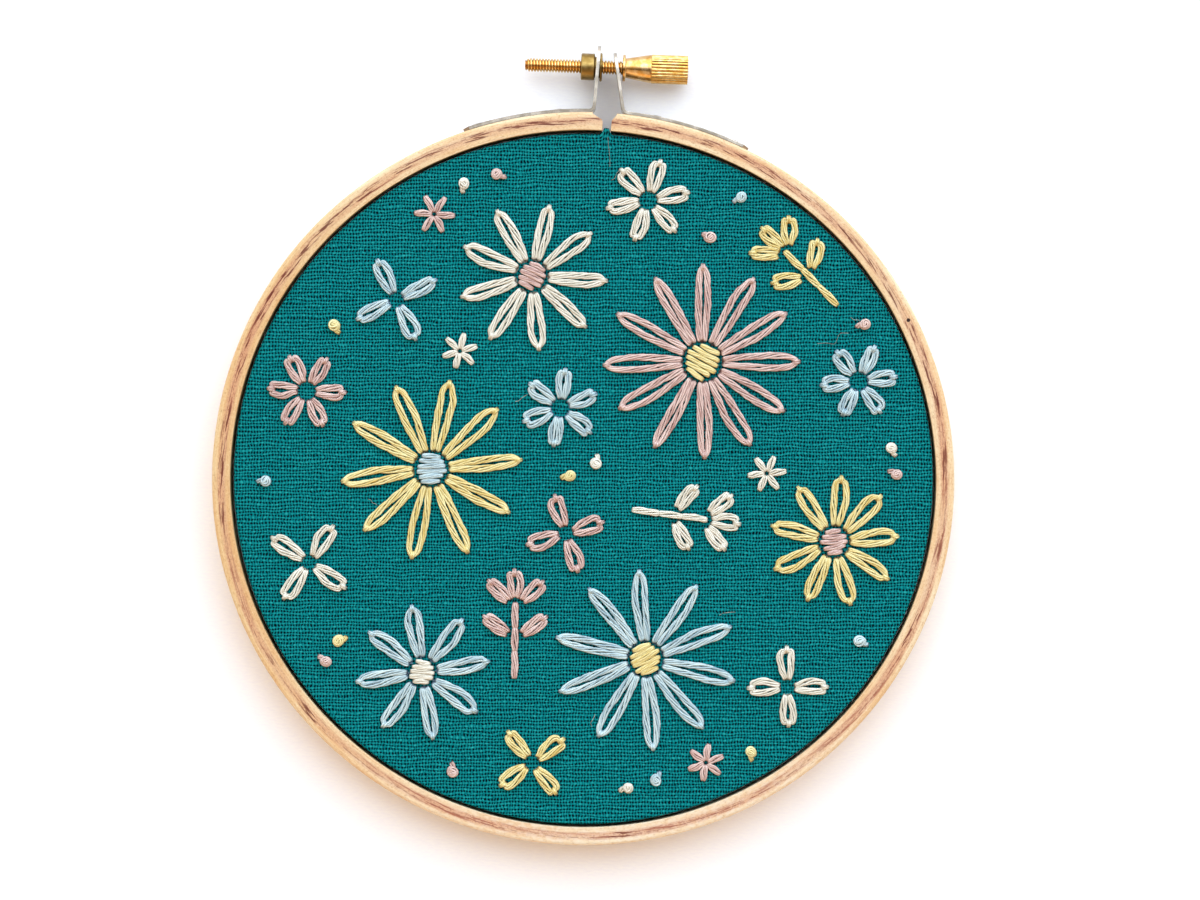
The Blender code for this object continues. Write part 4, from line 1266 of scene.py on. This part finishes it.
def bracket_mesh(name, ear):
    """One strip along its centre line, thickened, drilled on the screw's axis and eased."""
    rows = bracket_columns(ear)
    points = [from_centre(p.x, p.y, SCREW_Z + end * width / 2) for p, width in rows for end in (-1, 1)]
    faces = [(2 * k, 2 * k + 2, 2 * k + 3, 2 * k + 1) for k in range(len(rows) - 1)]
    strip = placed(name, mesh_from(name, points, faces))
    sheet = strip.modifiers.new("sheet", "SOLIDIFY")
    sheet.thickness = STRIP_THICK
    sheet.offset = 0.0
    sheet.use_even_offset = True
    drill = placed(name + "_drill", turned_mesh(name + "_drill", [
        (ear.base_x - 5 * MM, ear.hole), (ear.base_x + 5 * MM, ear.hole)], 40))
    cut = strip.modifiers.new("drill", "BOOLEAN")
    cut.operation = "DIFFERENCE"
    cut.object = drill
    ease = strip.modifiers.new("ease", "BEVEL")
    ease.width = 0.1 * MM
    ease.segments = 2
    ease.harden_normals = True
    ease.limit_method = "ANGLE"
    ease.angle_limit = math.radians(40)
    mesh = applied(strip)
    bpy.data.objects.remove(drill, do_unlink=True)
    return mesh


for side_name, ear in EARS.items():
    node_name = "bracket_" + side_name
    bracket = piece(node_name + "_strip", bracket_mesh(node_name + "_strip", ear), steel, slot="plated_steel",
                    replaces=[node_name])
    print(bracket.name, "faces", len(bracket.data.polygons))

# %% [markdown]
# The feet are held by flat heads. They are all alike, so a geometry tree puts one turned head on
# each of the four points on the strip, turned to stand straight out of the hoop.

# %% Geometry tree: flat heads on the feet
HEAD_ANGLES = [side * angle for side in (-1, 1) for angle in (7.6, 20.3)]
HEAD_RADIUS, HEAD_HEIGHT = 1.65 * MM, 0.45 * MM
head_tree, given, result = new_geometry_tree("flat_heads", {
    "Radius": ("Float", HEAD_RADIUS), "Height": ("Float", HEAD_HEIGHT), "Material": ("Material", None)})
outward = node(head_tree, "GeometryNodeInputNamedAttribute", {"Name": "outward"}, data_type="FLOAT_VECTOR")
stand = node(head_tree, "FunctionNodeAlignRotationToVector", {"Vector": outward}, axis="Z")
disc = node(head_tree, "GeometryNodeMeshUVSphere", {"Segments": 28, "Rings": 14, "Radius": given["Radius"]})
flatter = join(X=1.0, Y=1.0, Z=given["Height"] / given["Radius"])
heads = changed(given["Geometry"], "InstanceOnPoints",
                {"Instance": disc, "Rotation": stand, "Scale": flatter}, "Points")
for kind, inputs in (("RealizeInstances", {}), ("SetShadeSmooth", {}),
                     ("SetMaterial", {"Material": given["Material"]})):
    heads = changed(heads, kind, inputs)
link(heads, result)

face_of_strip = SEAT_GAP + STRIP_THICK - 0.05 * MM
spots = [rim_point(angle, face_of_strip) for angle in HEAD_ANGLES]
outwards = [(math.sin(math.radians(a)), math.cos(math.radians(a)), 0.0) for a in HEAD_ANGLES]
seats = mesh_from("flat_heads", [from_centre(p.x, p.y, SCREW_Z) for p in spots], [], outward=outwards)
head_mesh = with_tree(placed("flat_heads", seats), head_tree, Radius=HEAD_RADIUS, Height=HEAD_HEIGHT, Material=steel)
flat_heads = piece("bracket_heads", head_mesh, steel, slot="plated_steel",
                   replaces=["rivet_left_near", "rivet_left_far", "rivet_right_near", "rivet_right_far"])
print("heads:", len(HEAD_ANGLES), "faces:", len(flat_heads.data.polygons))

# %% [markdown]
# ## Floor, light and world
#
# The hoop lies on white paper with a faint laid texture. Soft daylight comes from beyond the hoop's
# top edge, high enough that the rim throws a shadow only a few millimetres long on the near side. A
# smaller lamp beside it gives brass and floss their shine and lights nothing else, and a weak warm
# one stands on the near side. A pale world fills the rest.

# %% White paper
HALF_FLOOR = 1.2
paper, tree, shader = new_material("white_laid_paper", Roughness=0.9, Specular_IOR_Level=0.1)
fibre = noise(object_place(tree), (700.0, 2400.0, 1.0))
surface(shader, mix(smooth_step(fibre, 0.3, 0.7), "#F3F6FE", "#F7FAFF"), fibre, 0.015 * MM)
corners = [(HALF_FLOOR * x, HALF_FLOOR * y, 0.0) for x, y in ((-1, -1), (1, -1), (1, 1), (-1, 1))]
floor_mesh = mesh_from("paper", corners, [(0, 1, 2, 3)])
floor_mesh.materials.append(paper)
floor = placed("paper", floor_mesh)


# %% Lights
def area_light(name, place, size, power, tint):
    """A square lamp that is aimed at the middle of the floor."""
    data = bpy.data.lights.new(name, "AREA")
    data.size = size
    data.energy = power
    data.color = colour(tint)[:3]
    lamp = placed(name, data)
    lamp.location = place
    lamp.rotation_euler = (-Vector(place)).to_track_quat("-Z", "Y").to_euler()
    return lamp


area_light("window", (0.28, 0.66, 0.80), 1.5, 6.3, "#D2E9FF")
glare = area_light("window_glare", (0.25, 0.55, 0.91), 0.4, 2.6, "#E4F1FF")
glare.visible_diffuse = False
area_light("fill", (-0.3, -0.7, 0.9), 0.8, 1.6, "#FFE8D2")

# The room: bright towards the window, half bright behind, and dim high up on the near side
world = bpy.data.worlds.new("pale_room")
bpy.context.scene.world = world
world.use_nodes = True
background = world.node_tree.nodes["Background"]
towards = node(world.node_tree, "ShaderNodeTexCoord", output="Generated")
room = ramp(split(towards)[1] * 0.5 + 0.5, [
    (0.0, "#FBD6A8"), (0.1, "#BC9673"), (0.25, "#93755A"), (0.5, "#968D83"), (0.6, "#CAC8C4"), (0.75, "#F8FAFB"),
    (1.0, "#FDFEFF")])
dim = vector_maths("DOT_PRODUCT", towards, (0.0, -0.45, 0.893), output="Value")
link(mix(smooth_step(dim, 0.82, 0.97), room, "#46392E"), background.inputs["Color"])
background.inputs["Strength"].default_value = 2.2
bpy.context.scene.view_settings.view_transform = "Standard"
print("lights and paper in place")
